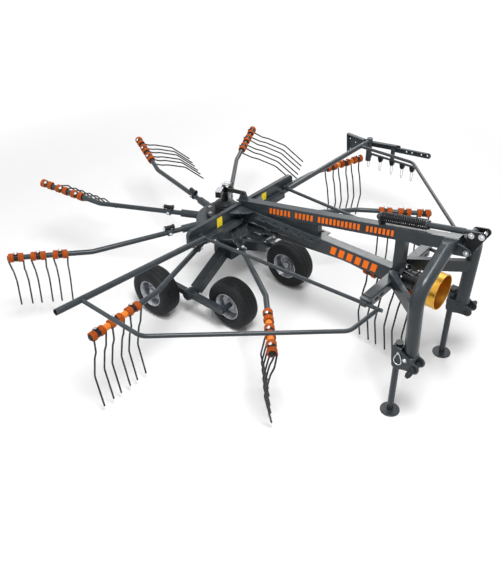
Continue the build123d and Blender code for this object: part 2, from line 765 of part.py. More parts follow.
# Gearbox, its crank and the column with the axle
with BuildPart() as gearbox:
    with BuildSketch(side_plane(0)):
        with BuildLine():
            Polyline(
                (0, DISC_BOTTOM),
                (DISC_R, DISC_BOTTOM),
                (DISC_R, cross_bottom),
                (GEARBOX_R, cross_bottom),
                (GEARBOX_R, cross_bottom + GEARBOX_H),
                (NECK_R + 12, cross_bottom + GEARBOX_H + DOME_H),
                (NECK_R, cross_bottom + GEARBOX_H + DOME_H),
                (NECK_R, cross_bottom + GEARBOX_H + DOME_H + NECK_H),
                (0, cross_bottom + GEARBOX_H + DOME_H + NECK_H),
                close=True,
            )
        make_face()
    revolve(axis=Axis(spot(0, 0, 0), (0, 0, 1)))
write(gearbox, "gearbox")

with BuildPart() as height_crank:
    neck_top = cross_bottom + GEARBOX_H + DOME_H + NECK_H
    aim = Vector(cos(radians(CRANK_AIM)), sin(radians(CRANK_AIM)), 0)
    crank_foot = spot(0, 0, neck_top)
    crank_head = crank_foot + Vector(0, 0, CRANK_RISE)
    bent_bar([crank_foot, crank_head, crank_head + aim * CRANK_ARM], 2.2 * CRANK_R, CRANK_R)
    grip_foot = crank_head + aim * (CRANK_ARM - LINK_T)
    flat_bar(grip_foot, grip_foot + aim * GRIP_LENGTH, GRIP_H, GRIP_W)
    link_y = (LUG_T + LINK_T) / 2
    link_end = spot(LUG_REAR + LUG_FOOT / 2, link_y, lug_hole_z)
    flat_bar(spot(0, link_y, neck_top + LINK_W / 2), link_end, LINK_W, LINK_T)
write(height_crank, "height_crank")

block_bottom = AXLE_BLOCK_TOP - AXLE_BLOCK_H
pivot_in = PIVOT_Y - TANDEM_W / 2
pivot_out = PIVOT_Y + TANDEM_W / 2

with BuildPart() as axle:
    round_bar(spot(0, 0, block_bottom), spot(0, 0, DISC_BOTTOM), COLUMN_R)
    round_bar(spot(0, 0, AXLE_BLOCK_TOP - 10), spot(0, 0, HUB_BOTTOM - RUN_GAP), THRUST_R)
    for bearing_z in (HUB_BOTTOM + THRUST_H, HUB_TOP - THRUST_H - BEARING_H):
        round_bar(spot(0, 0, bearing_z), spot(0, 0, bearing_z + BEARING_H), HUB_BORE - RUN_GAP)
    block(spot(AXLE_BLOCK_REAR, -AXLE_BLOCK_HALF, block_bottom),
          spot(AXLE_BLOCK_FRONT, AXLE_BLOCK_HALF, AXLE_BLOCK_TOP - 10))
    for name, side in SIDES:
        inner = spot(AXLE_ROOT_X, side * (AXLE_BLOCK_HALF - 30), AXLE_BLOCK_TOP - AXLE_ARM / 2 - 12)
        outer = spot(AXLE_X, side * (pivot_in - 38), AXLE_Z)
        run = outer - inner
        with BuildSketch(Plane(origin=inner, x_dir=(1, 0, 0), z_dir=run)):
            Rectangle(AXLE_ARM, AXLE_ARM)
        extrude(amount=run.length)
        round_bar(spot(AXLE_X, side * (pivot_in - 75), AXLE_Z),
                  spot(AXLE_X, side * (pivot_in - RUN_GAP), AXLE_Z), PIVOT_BOSS_R - 8)
        round_bar(spot(AXLE_X, side * (pivot_in - 60), AXLE_Z),
                  spot(AXLE_X, side * (pivot_out + RUN_GAP), AXLE_Z), PIVOT_R)
        round_bar(spot(AXLE_X, side * (pivot_out + RUN_GAP), AXLE_Z),
                  spot(AXLE_X, side * (pivot_out + PIVOT_CAP_H), AXLE_Z), PIVOT_CAP_R)
write(axle, "axle")

# Tandem beams with stub axles: front wheels run inside the beam, rear wheels outside
wheel_table = (("front", FRONT_WHEEL_X, FRONT_WHEEL_Y, -1), ("rear", REAR_WHEEL_X, REAR_WHEEL_Y, 1))

for name, side in SIDES:
    with BuildPart() as tandem:
        with BuildSketch(side_plane(side * PIVOT_Y)):
            with Locations(((FRONT_WHEEL_X + REAR_WHEEL_X) / 2, AXLE_Z)):
                RectangleRounded(FRONT_WHEEL_X - REAR_WHEEL_X + 2 * TANDEM_END, TANDEM_H, TANDEM_H / 2 - 8)
            with Locations((AXLE_X, AXLE_Z)):
                Circle(PIVOT_BOSS_R)
        extrude(amount=TANDEM_W / 2, both=True)
        round_bar(spot(AXLE_X, side * (pivot_in - 20), AXLE_Z), spot(AXLE_X, side * (pivot_out + 20), AXLE_Z),
                  PIVOT_R + RUN_GAP, Mode.SUBTRACT)
        for place, wheel_x, wheel_y, outward in wheel_table:
            face = PIVOT_Y + outward * TANDEM_W / 2
            far = wheel_y + outward * RIM_W / 4
            round_bar(spot(wheel_x, side * face, AXLE_Z), spot(wheel_x, side * far, AXLE_Z), STUB_R)
    write(tandem, f"tandem_{name}")

for name, side in SIDES:
    for place, wheel_x, wheel_y, outward in wheel_table:
        hub_axis = Axis(spot(wheel_x, side * wheel_y, AXLE_Z), (0, 1, 0))
        wheel_plane = plane_at(wheel_x, side * wheel_y, AXLE_Z, (0, 0, 1), (0, side * outward, 0))
        with BuildPart() as tyre:
            with BuildSketch(wheel_plane):
                with BuildLine():
                    Polyline(
                        (-RIM_W / 2, RIM_R + SEAT_GAP),
                        (-TYRE_W / 2, RIM_R + 38),
                        (-TYRE_W / 2, TYRE_R - 38),
                        (-TYRE_W / 2 + 24, TYRE_R - 7),
                        (0, TYRE_R),
                        (TYRE_W / 2 - 24, TYRE_R - 7),
                        (TYRE_W / 2, TYRE_R - 38),
                        (TYRE_W / 2, RIM_R + 38),
                        (RIM_W / 2, RIM_R + SEAT_GAP),
                        close=True,
                    )
                make_face()
            revolve(axis=hub_axis)
        write(tyre, f"tyre_{place}_{name}")
        with BuildPart() as rim:
            with BuildSketch(wheel_plane):
                with BuildLine():
                    Polyline(
                        (-RIM_W / 2, RIM_R),
                        (-RIM_W / 2, RIM_R - 8),
                        (-RIM_W / 2 + 20, RIM_R - 16),
                        (-10, RIM_R - 16),
                        (-10, RIM_HUB_R),
                        (-RIM_W / 4, RIM_HUB_R),
                        (-RIM_W / 4, STUB_R + RUN_GAP),
                        (RIM_W / 4, STUB_R + RUN_GAP),
                        (RIM_W / 4, RIM_HUB_R),
                        (-10 + RIM_DISC_T, RIM_HUB_R),
                        (-10 + RIM_DISC_T, RIM_R - 16),
                        (RIM_W / 2 - 20, RIM_R - 16),
                        (RIM_W / 2, RIM_R - 8),
                        (RIM_W / 2, RIM_R),
                        close=True,
                    )
                make_face()
            revolve(axis=hub_axis)
        write(rim, f"rim_{place}_{name}")

# Rotor hub with a sleeve for each arm
with BuildPart() as rotor_hub:
    with BuildSketch(side_plane(0)):
        with BuildLine():
            Polyline(
                (HUB_BORE, HUB_BOTTOM),
                (HUB_FOOT_R, HUB_BOTTOM),
                (HUB_R - HUB_EDGE, HUB_BOTTOM + HUB_TAPER),
                (HUB_R, HUB_BOTTOM + HUB_WALL_FOOT),
                (HUB_R, HUB_TOP - HUB_EDGE),
                (HUB_R - HUB_EDGE, HUB_TOP),
                (HUB_BORE, HUB_TOP),
                close=True,
            )
        make_face()
    revolve(axis=Axis(spot(0, 0, 0), (0, 0, 1)))
    for arm in range(ARM_COUNT):
        turn = radians(FIRST_ARM_ANGLE + arm * 360 / ARM_COUNT)
        out = Vector(cos(turn), sin(turn), 0)
        centre = spot(0, 0, ARM_Z)
        round_bar(centre + out * (HUB_R - 40), centre + out * SLEEVE_REACH, SLEEVE_R)
        round_bar(centre + out * (ARM_ROOT - 2), centre + out * (SLEEVE_REACH + 5),
                  ARM_R + SEAT_GAP, Mode.SUBTRACT)
write(rotor_hub, "rotor_hub")


def arm_line(arm):
    """Root, direction, crank corner and cranked end's direction of one arm, with its turn."""
    turn = FIRST_ARM_ANGLE + arm * 360 / ARM_COUNT
    out = Vector(cos(radians(turn)), sin(radians(turn)), 0)
    lift = radians(CRANK_LIFT[arm])
    aside = Vector(out.Y, -out.X, 0) * cos(lift) + Vector(0, 0, 1) * sin(lift)
    along = out * cos(radians(ARM_CRANK_ANGLE)) + aside * sin(radians(ARM_CRANK_ANGLE))
    centre = spot(0, 0, ARM_Z)
    return centre, out, centre + out * ARM_CRANK_AT, along, turn


def tine_place(tine):
    """Distance of a tine from its arm's crank corner: pairs, with a clamp inside each pair."""
    return TINE_FIRST + tine // 2 * PAIR_PITCH + tine % 2 * PAIR_SPREAD


with BuildPart() as rotor_arms:
    for arm in range(ARM_COUNT):
        centre, out, crank, along, turn = arm_line(arm)
        bent_bar([centre + out * ARM_ROOT, crank, crank + along * ARM_END_RUN], ARM_CRANK_RADIUS, ARM_R)
        round_bar(centre + out * (COLLAR_AT - COLLAR_LENGTH / 2),
                  centre + out * (COLLAR_AT + COLLAR_LENGTH / 2), COLLAR_R)
        with Locations(Location(centre + out * COLLAR_AT + Vector(0, 0, COLLAR_R), (0, 0, turn))):
            Box(COLLAR_LENGTH, COLLAR_LUG / 2, COLLAR_LUG)
        for tine in range(0, TINES_PER_ARM, 2):
            clamp = crank + along * (tine_place(tine) + PAIR_SPREAD / 2)
            half = along * ((PAIR_SPREAD - COIL_LENGTH) / 2 - CLAMP_GAP)
            round_bar(clamp - half, clamp + half, CLAMP_R)
write(rotor_arms, "rotor_arms")

for arm in range(ARM_COUNT):
    centre, out, crank, along, turn = arm_line(arm)
    lift = radians(TINE_LIFT[arm])
    ahead = Vector(0, 0, 1).cross(along).normalized()
    up = along.cross(ahead)
    lead = ahead * cos(lift) - up * sin(lift)
    drop = up * -cos(lift) - ahead * sin(lift)
    with BuildPart() as tine_set:
        for tine in range(TINES_PER_ARM):
            hub = crank + along * tine_place(tine)
            half = along * (COIL_LENGTH / 2)
            round_bar(hub - half, hub + half, COIL_R)
            knee = hub + lead * TINE_KNEE_LEAD + drop * TINE_KNEE_DROP
            tip = hub + lead * TINE_TIP_LEAD + drop * TINE_TIP_DROP
            root = hub + lead * TINE_ROOT_LEAD
            bent_bar([root, knee, tip], TINE_BEND, TINE_WIRE_R)
            round_bar(hub - half * 2, hub + half * 2, ARM_R + SEAT_GAP, Mode.SUBTRACT)
    write(tine_set, f"tines_{arm + 1}")

# Guard hinges
with BuildPart() as guard_hinges:
    for name, side in SIDES:
        rear = stay_point(CROSS_FRONT, side)
        block(rear - Vector(0, HINGE_HALF, HINGE_HALF), rear + Vector(HINGE_T, HINGE_HALF, HINGE_HALF))
        eye_front = stay_point(bar_middle - HINGE_BLOCK / 2, side)
        eye_rear = stay_point(bar_middle + HINGE_BLOCK / 2, side)
        web_ends = sorted((side * bar_half, side * stay_at_bar))
        block(spot(bar_middle - HINGE_BLOCK / 2, web_ends[0], GUARD_Z - HINGE_HALF),
              spot(bar_middle + HINGE_BLOCK / 2, web_ends[1], GUARD_Z + HINGE_HALF))
        round_bar(eye_front, eye_rear, STAY_R + HINGE_WALL)
        round_bar(stay_point(CROSS_FRONT, side), stay_point(STAY_FRONT_X, side),
                  STAY_R + RUN_GAP, Mode.SUBTRACT)
write(guard_hinges, "guard_hinges")


def guard_point(x, y, side, rise):
    """Point of a guard that stands raised about its hinge line by a slope."""
    return spot(x, side * y, GUARD_Z + (y - abs(stay_point(x, side).Y - ROTOR_Y)) * rise)


guard_table = (
    ("right", -1, GUARD_RIGHT_END, tan(radians(GUARD_RIGHT_RAISE))),
    ("left", 1, GUARD_LEFT_END, 0.0),
)

for name, side, tube_end, rise in guard_table:
    with BuildPart() as stay:
        round_bar(stay_point(STAY_REAR_X, side), stay_point(STAY_FRONT_X, side), STAY_R)
    write(stay, f"guard_stay_{name}")

    with BuildPart() as stay_clear:
        round_bar(stay_point(STAY_REAR_X - 50, side), stay_point(STAY_FRONT_X + 50, side), STAY_R + SEAT_GAP)

    tube_start = guard_point(GUARD_X, STAY_REAR_Y - 2, side, rise)
    tube_finish = guard_point(GUARD_X, tube_end, side, rise)
    tube_along = (tube_finish - tube_start).normalized()
    with BuildPart() as tube_clear:
        round_bar(tube_start, tube_finish + tube_along * GUARD_R, GUARD_R + SEAT_GAP)

    with BuildPart() as guard_tube:
        round_bar(tube_start, tube_finish, GUARD_R)
        round_bar(tube_start + tube_along * 40, tube_finish + tube_along, GUARD_R - GUARD_WALL, Mode.SUBTRACT)
        with BuildSketch(plane_at(GUARD_X, side * (STAY_REAR_Y - 40), GUARD_Z, (0, side, 0), (1, 0, 0))):
            Rectangle(3 * GUARD_R, 3 * GUARD_R)
        extrude(amount=40 - 4, mode=Mode.SUBTRACT)
        add(stay_clear.part, mode=Mode.SUBTRACT)
    write(guard_tube, f"guard_tube_{name}")

    with BuildPart() as hoop:
        front_end = stay_point(STAY_FRONT_X - 2 * HOOP_R, side)
        bent_bar([
            guard_point(GUARD_X, HOOP_Y, side, rise),
            guard_point(HOOP_CORNER_X, HOOP_Y, side, rise),
            guard_point(HOOP_FRONT_X, HOOP_FRONT_Y, side, rise),
            front_end + Vector(0, side * 2, 0),
        ], HOOP_BEND, HOOP_R)
        add(stay_clear.part, mode=Mode.SUBTRACT)
        add(tube_clear.part, mode=Mode.SUBTRACT)
        hoop_pieces = hoop.solids().sort_by(SortBy.VOLUME)
        add(hoop_pieces[-1], mode=Mode.INTERSECT)
    write(hoop, f"guard_hoop_{name}")

# Swath former: a slide tube in the left guard carries a post, bars and hairpin tines
with BuildPart() as former_frame:
    round_bar(spot(GUARD_X, GUARD_LEFT_END - SLIDE_TUBE_IN, GUARD_Z),
              spot(GUARD_X, FORMER_Y, GUARD_Z), SLIDE_TUBE_R)
    round_bar(spot(GUARD_X, FORMER_Y, FORMER_POST_BOTTOM),
              spot(GUARD_X, FORMER_Y, FORMER_POST_TOP), FORMER_SLEEVE_R)
    side_plate(FORMER_Y, FORMER_BAR_T, (
        (FORMER_PLATE_REAR, FORMER_PLATE_BOTTOM),
        (GUARD_X, FORMER_PLATE_BOTTOM),
        (GUARD_X, FORMER_BAR_Z),
        (FORMER_BAR_FRONT, FORMER_BAR_Z),
        (FORMER_BAR_FRONT, FORMER_BAR_Z + FORMER_BAR_H),
        (FORMER_PLATE_REAR, FORMER_BAR_Z + FORMER_BAR_H),
    ))
    with BuildSketch(side_plane(FORMER_Y)):
        with Locations(((FORMER_ARM_X + FORMER_BAR_FRONT) / 2 + 20, FORMER_BAR_Z + FORMER_BAR_H / 2)):
            with GridLocations(60, 1, FORMER_BAR_HOLES, 1):
                Circle(FORMER_BAR_HOLE_R)
    extrude(amount=FORMER_BAR_T, both=True, mode=Mode.SUBTRACT)
    round_bar(spot(FORMER_ARM_X, FORMER_Y, FORMER_LOW_Z),
              spot(FORMER_ARM_X, FORMER_Y, FORMER_BAR_Z + FORMER_BAR_H), FORMER_POST_R)
    block(spot(GUARD_X, FORMER_Y - FORMER_LOW_S / 2, FORMER_LOW_Z - FORMER_LOW_S / 2),
          spot(FORMER_LOW_FRONT, FORMER_Y + FORMER_LOW_S / 2, FORMER_LOW_Z + FORMER_LOW_S / 2))
write(former_frame, "former_frame")

low_under = FORMER_LOW_Z - FORMER_LOW_S / 2

with BuildPart() as former_tines:
    for pin in range(HAIRPINS):
        pin_x = HAIRPIN_FIRST + pin * HAIRPIN_PITCH
        block(spot(pin_x - HOLDER_W / 2, FORMER_Y - HOLDER_S / 2, low_under - HOLDER_S),
              spot(pin_x + HOLDER_W / 2, FORMER_Y + HOLDER_S / 2, low_under))
        for leg in (-1, 1):
            round_bar(spot(pin_x + leg * HOLDER_W / 4, FORMER_Y, low_under - HOLDER_S + 2),
                      spot(pin_x + leg * HAIRPIN_SPREAD / 2, FORMER_Y, low_under - HAIRPIN_DROP),
                      HAIRPIN_WIRE_R)
write(former_tines, "former_tines")
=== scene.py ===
"""Looks of a rotary hay rake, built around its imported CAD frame.

Lengths in the tables are millimetres from the rotor's axis, as in the part's source, and become
metres in the shared frame through spot().
"""

from math import cos, pi, radians, sin, tan

import bmesh
import bpy
import numpy as np
from mathutils import Matrix, Vector


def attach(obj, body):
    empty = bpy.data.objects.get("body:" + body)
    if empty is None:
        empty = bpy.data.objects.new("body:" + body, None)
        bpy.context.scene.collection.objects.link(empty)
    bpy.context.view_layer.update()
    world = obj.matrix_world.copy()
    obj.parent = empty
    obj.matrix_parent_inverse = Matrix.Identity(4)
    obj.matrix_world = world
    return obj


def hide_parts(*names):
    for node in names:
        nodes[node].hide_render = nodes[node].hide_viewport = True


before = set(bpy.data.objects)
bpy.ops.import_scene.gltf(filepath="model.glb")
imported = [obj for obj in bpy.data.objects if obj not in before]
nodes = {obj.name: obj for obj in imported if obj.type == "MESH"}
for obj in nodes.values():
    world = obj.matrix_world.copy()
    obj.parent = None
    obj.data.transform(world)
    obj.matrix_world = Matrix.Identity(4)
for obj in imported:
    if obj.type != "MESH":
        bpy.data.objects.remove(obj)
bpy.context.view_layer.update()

# Places and sizes shared with the solids
ROTOR_X = -200.135
ROTOR_Y = -2.231
ARM_COUNT = 9
FIRST_ARM_ANGLE = 6.7
ARM_Z = 640.0
ARM_R = 19.0
CRANK_AT = 1055.0
CRANK_ANGLE = 13.5
ARM_END_RUN = 575.0
CRANK_LIFT = (0.0, 0.0, 0.0, 30.0, 30.0, 30.0, 16.0, 0.0, 0.0)
TINE_LIFT = (0.0, 0.0, 0.0, 59.0, 58.0, 53.0, 20.0, 0.0, 0.0)
TINE_PLACES = (189.0, 254.0, 339.0, 404.0, 489.0, 554.0)
SLEEVED_ARMS = (3, 8, 9)
COIL_R = 28.6
COIL_WIRE = 4.9
COIL_TURNS = 3.45
COIL_LENGTH = 33.0
LEG_WIRE = 6.2
TYRE_R = 200.0
WHEELS = {
    "front_right": (375.0, -349.0, 1),
    "front_left": (375.0, 349.0, -1),
    "rear_right": (-190.0, -605.0, -1),
    "rear_left": (-190.0, 605.0, 1),
}
WHEEL_Z = 200.0
LOW_HALF = 40.0
TOP_HALF = 30.0
BEAM_TOP = 832.0
TOP_SLOPE = tan(radians(11.2))
TOP_RISE_START = 402.0
TOP_H = 86.0
SIDES = (("right", -1), ("left", 1))
FORWARD = np.array((1.0, 0.0, 0.0))
LEFT = np.array((0.0, 1.0, 0.0))
UP = np.array((0.0, 0.0, 1.0))
# Any direction that no axis of the part follows
SKEW = (0.31, 0.55, 0.77)
WELD_RIPPLE = 0.16
WELD_RIPPLE_PITCH = 9.0


def spot(x, y, z):
    """Point in metres of the shared frame, from millimetres off the rotor's axis."""
    return np.array((ROTOR_X + x, ROTOR_Y + y, z)) / 1000


def beside(place, side):
    """Point in metres from a place in millimetres whose y is a distance from the middle to one side."""
    x, y, z = place
    return spot(x, side * y, z)


def unit(vector):
    """Vector scaled to length one, or each row of an array of vectors."""
    vector = np.asarray(vector, float)
    return vector / np.linalg.norm(vector, axis=-1, keepdims=True)


def square_to(axis):
    """Two directions of length one, square to an axis and to each other."""
    first = unit(np.cross(axis, SKEW))
    return first, np.cross(axis, first)


# Shapes: each is a pair of an array of points and a list of faces

def grid_faces(rows, columns, round_rows=False, round_columns=False):
    """Quads of a grid of points: each joins a point to its neighbours in the next column and row.
    A round side joins its last line to its first."""
    row = np.arange(rows if round_rows else rows - 1)
    column = np.arange(columns if round_columns else columns - 1)
    row, column = np.meshgrid(row, column, indexing="ij")
    next_row = (row + 1) % rows
    next_column = (column + 1) % columns
    corners = (row * columns + column, row * columns + next_column,
               next_row * columns + next_column, next_row * columns + column)
    return np.stack(corners, -1).reshape(-1, 4).tolist()


def tube(path, radius, across, sides=10):
    """Round bar: a circle of the given radius (mm) carried along a path of points (m). Each circle is
    spanned by the path's side, its direction crossed with the vector across, and by that side crossed
    with the direction. A point at each end closes it."""
    path = np.asarray(path, float)
    ahead = unit(np.gradient(path, axis=0))
    side = unit(np.cross(ahead, across))
    lift = np.cross(side, ahead)
    size = np.broadcast_to(np.asarray(radius, float) / 1000, len(path))
    turn = np.linspace(0, 2 * pi, sides, endpoint=False)
    ring = side[:, None] * np.cos(turn)[None, :, None] + lift[:, None] * np.sin(turn)[None, :, None]
    skin = path[:, None] + ring * size[:, None, None]
    points = np.concatenate((np.repeat(path[:1, None], sides, 1), skin, np.repeat(path[-1:, None], sides, 1)))
    return points.reshape(-1, 3), grid_faces(len(path) + 2, sides, round_columns=True)


def lathe(profile, origin, axis, sides, closed=False):
    """Turned piece: a profile of distances along the axis and radii (mm), swept round the axis through
    the origin (m). A closed profile is a ring; an open one starts and ends at radius nought."""
    profile = np.asarray(profile, float) / 1000
    axis = unit(axis)
    first, second = square_to(axis)
    turn = np.linspace(0, 2 * pi, sides, endpoint=False)
    ring = np.outer(np.cos(turn), first) + np.outer(np.sin(turn), second)
    points = np.asarray(origin) + axis * profile[:, :1, None] + ring * profile[:, 1:, None]
    return points.reshape(-1, 3), grid_faces(len(profile), sides, round_rows=closed, round_columns=True)


def slab(outline, thickness, origin, right, up):
    """Plate: an outline of millimetres along the directions right and up from the origin (m), raised by
    the thickness (mm) along right crossed with up. Two outlines joined by quads, closed by two faces."""
    right = unit(right)
    up = unit(up)
    out = np.cross(right, up)
    outline = np.asarray(outline, float) / 1000
    low = np.asarray(origin) + outline[:, :1] * right + outline[:, 1:] * up
    points = np.concatenate((low, low + out * thickness / 1000))
    count = len(outline)
    faces = grid_faces(2, count, round_columns=True)
    faces.append(list(range(count)))
    faces.append(list(range(count, 2 * count)))
    return points, faces


def holed_plate(outlines, thickness, origin, right, up):
    """Plate with openings: the first outline (mm) is filled and the later ones are left open, by filling
    a flat closed curve, then raised by the thickness (mm) along right crossed with up."""
    right = unit(right)
    up = unit(up)
    curve = bpy.data.curves.new("plate_outline", "CURVE")
    curve.dimensions = "2D"
    curve.fill_mode = "BOTH"
    curve.extrude = thickness / 2000
    for outline in outlines:
        flat = np.zeros((len(outline), 4))
        flat[:, :2] = np.asarray(outline, float) / 1000
        spline = curve.splines.new("POLY")
        spline.points.add(len(outline) - 1)
        spline.points.foreach_set("co", flat.ravel())
        spline.use_cyclic_u = True
    holder = bpy.data.objects.new("plate_outline", curve)
    mesh = bpy.data.meshes.new_from_object(holder)
    local = np.zeros(len(mesh.vertices) * 3)
    mesh.vertices.foreach_get("co", local)
    local = local.reshape(-1, 3)
    faces = [list(face.vertices) for face in mesh.polygons]
    bpy.data.objects.remove(holder)
    bpy.data.curves.remove(curve)
    bpy.data.meshes.remove(mesh)
    depth = local[:, 2:] + thickness / 2000
    points = np.asarray(origin) + local[:, :1] * right + local[:, 1:2] * up + depth * np.cross(right, up)
    return points, faces


def disc(x, y, radius, count=24, start=0.0, sweep=360.0):
    """Points (mm) on a circle or an arc of it."""
    full = sweep >= 360.0
    turn = np.radians(start + np.linspace(0, sweep, count, endpoint=not full))
    return np.stack((x + radius * np.cos(turn), y + radius * np.sin(turn)), -1)


def rectangle(low_x, low_y, high_x, high_y):
    """Corners (mm) of a rectangle, from its lowest to its highest place along both directions."""
    return ((low_x, low_y), (high_x, low_y), (high_x, high_y), (low_x, high_y))


def collar(low, high, bore, radius, edge):
    """Section of a ring with cut outer corners: distances along its axis and radii (mm)."""
    return ((low, bore), (low, radius - edge), (low + edge, radius), (high - edge, radius),
            (high, radius - edge), (high, bore))


def bolt_circle(centre, right, up, radius, count, first=0.0):
    """Places (m) in even steps on a circle (mm radius) about the centre, from the direction right towards
    the direction up. They begin at the given share of a step."""
    angle = (np.arange(count) + first) * 2 * pi / count
    return centre + (np.outer(np.cos(angle), right) + np.outer(np.sin(angle), up)) * radius / 1000


def bar_outline(low, high, half):
    """Long bar with round ends: half circles about its two end centres, joined by straight sides."""
    return np.concatenate((disc(low, 0, half, 13, 90, 180), disc(high, 0, half, 13, -90, 180)))


def rod(start, finish, radius, sides):
    """Straight round bar (mm radius) with flat ends between two points."""
    start = np.asarray(start, float)
    run = np.linalg.norm(np.asarray(finish) - start) * 1000
    return lathe([(0, 0), (0, radius), (run, radius), (run, 0)], start, np.asarray(finish) - start, sides)


# Profiles for half the width of a bolt head: distance along the bolt and radius
HEAD_PROFILE = np.array(((0, 0), (0, 1.12), (0.95, 1.12), (1.2, 0.9), (1.2, 0)))
WASHER_PROFILE = np.array(((0, 0), (0, 1.75), (0.28, 1.7), (0.3, 0)))


def hex_bolt(place, axis, across):
    """Bolt head: a six-sided turned block with a chamfered crown, on a thin round washer."""
    half = across / 2
    return [lathe(HEAD_PROFILE * half, place, axis, 6), lathe(WASHER_PROFILE * half, place, axis, 20)]


def dome_bolt(place, axis, radius):
    """Round-headed bolt: a quarter circle turned round its axis, standing on a flat rim."""
    arc = np.linspace(0, pi / 2, 7)
    crown = np.stack((radius * (0.25 + 0.65 * np.sin(arc)), radius * np.cos(arc)), -1)
    profile = np.concatenate(([(0, 0), (0, radius * 1.12), (radius * 0.25, radius * 1.12)], crown))
    return lathe(profile, place, axis, 20)


def bent(points, reach):
    """Route with tight bends: each inner corner is replaced by a short parabola that leaves one run and
    joins the next at the same reach (mm) from the corner."""
    points = np.asarray(points, float)
    share = np.linspace(0, 1, 6)[:, None]
    route = [points[:1]]
    for before, corner, after in zip(points, points[1:], points[2:]):
        start = corner + unit(before - corner) * reach / 1000
        finish = corner + unit(after - corner) * reach / 1000
        route.append(start * (1 - share) ** 2 + corner * 2 * share * (1 - share) + finish * share ** 2)
    route.append(points[-1:])
    return np.concatenate(route)


def weld(line, across, size):
    """Weld bead: a round bar along a line (m) whose radius (mm) swells and shrinks with the sine of the
    distance run, as the ripples of a hand-laid bead do."""
    run = np.concatenate(([0.0], np.cumsum(np.linalg.norm(np.diff(line, axis=0), axis=1)))) * 1000
    return tube(line, size * (1 + WELD_RIPPLE * np.sin(run * 2 * pi / WELD_RIPPLE_PITCH)), across, 8)


def ring_line(centre, axis, radius, count=96):
    """Closed circle of points (m) about an axis, with a radius in millimetres."""
    first, second = square_to(unit(axis))
    turn = np.linspace(0, 2 * pi, count)[:, None]
    return np.asarray(centre) + (first * np.cos(turn) + second * np.sin(turn)) * radius / 1000


def helix(origin, axis, first, radius, length, turns, per_turn=22):
    """Coil line: angle grows evenly while the place moves along the axis. The angle is counted from the
    vector first towards the axis crossed with it. Radius and length are in millimetres."""
    axis = unit(axis)
    first = unit(first)
    second = np.cross(axis, first)
    share = np.linspace(0, 1, int(abs(turns) * per_turn) + 1)[:, None]
    angle = share * turns * 2 * pi
    return (np.asarray(origin) + axis * share * length / 1000
            + (first * np.cos(angle) + second * np.sin(angle)) * radius / 1000)


def gather(shapes):
    """One mesh's points and faces from several shapes, with each shape's faces counted on."""
    counts = np.cumsum([0] + [len(points) for points, faces in shapes])
    points = np.concatenate([points for points, faces in shapes])
    faces = []
    for start, (own, own_faces) in zip(counts, shapes):
        faces.extend([[int(start) + corner for corner in face] for face in own_faces])
    return points, faces


def piece(name, shapes, material, body, bevel=0.0, sharp=40.0, stands_for=()):
    """Object from a list of shapes: points at the same place are merged, faces turned outwards and
    edges sharper than an angle kept crisp. It rides on a body and may stand for CAD nodes."""
    points, faces = gather(shapes)
    mesh = bpy.data.meshes.new(name)
    mesh.from_pydata(points.tolist(), [], faces)
    work = bmesh.new()
    work.from_mesh(mesh)
    bmesh.ops.remove_doubles(work, verts=work.verts, dist=2e-6)
    bmesh.ops.recalc_face_normals(work, faces=work.faces)
    work.to_mesh(mesh)
    work.free()
    mesh.shade_smooth()
    mesh.set_sharp_from_angle(angle=radians(sharp))
    mesh.materials.append(material)
    made = bpy.data.objects.new(name, mesh)
    bpy.context.scene.collection.objects.link(made)
    if bevel:
        edge = made.modifiers.new("edges", "BEVEL")
        edge.width = bevel / 1000
        edge.segments = 2
        edge.limit_method = "ANGLE"
        edge.angle_limit = radians(35)
    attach(made, body)
    for node in stands_for:
        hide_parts(node)


# Finishes

class Value:
    """A shader socket in an expression: each operator adds a Math node to its finish."""

    def __init__(self, finish, socket):
        self.finish = finish
        self.socket = socket

    def math(self, operation, first, second):
        """Math node of an operation on two values or numbers."""
        return self.finish.node("ShaderNodeMath", {"operation": operation}, {0: first, 1: second})

    def __add__(self, other):
        return self.math("ADD", self, other)

    def __radd__(self, other):
        return self.math("ADD", other, self)

    def __sub__(self, other):
        return self.math("SUBTRACT", self, other)

    def __rsub__(self, other):
        return self.math("SUBTRACT", other, self)

    def __mul__(self, other):
        return self.math("MULTIPLY", self, other)

    def __rmul__(self, other):
        return self.math("MULTIPLY", other, self)

    def held(self, low, high):
        """This value carried from the range low to high onto nought to one, and kept inside it."""
        return self.finish.node("ShaderNodeMapRange", {"clamp": True},
                                {"Value": self, "From Min": low, "From Max": high})


class Nodes:
    """A node tree that is written as expressions."""

    def __init__(self, tree):
        self.tree = tree

    def node(self, kind, settings, inputs, output=0):
        """Node of a type with its settings made first, then its sockets given values or links."""
        made = self.tree.nodes.new(kind)
        for setting, value in settings.items():
            setattr(made, setting, value)
        for socket, value in inputs.items():
            self.feed(made.inputs[socket], value)
        return Value(self, made.outputs[output])

    def feed(self, socket, value):
        """Link or number for one socket."""
        if isinstance(value, Value):
            self.tree.links.new(value.socket, socket)
        else:
            socket.default_value = value


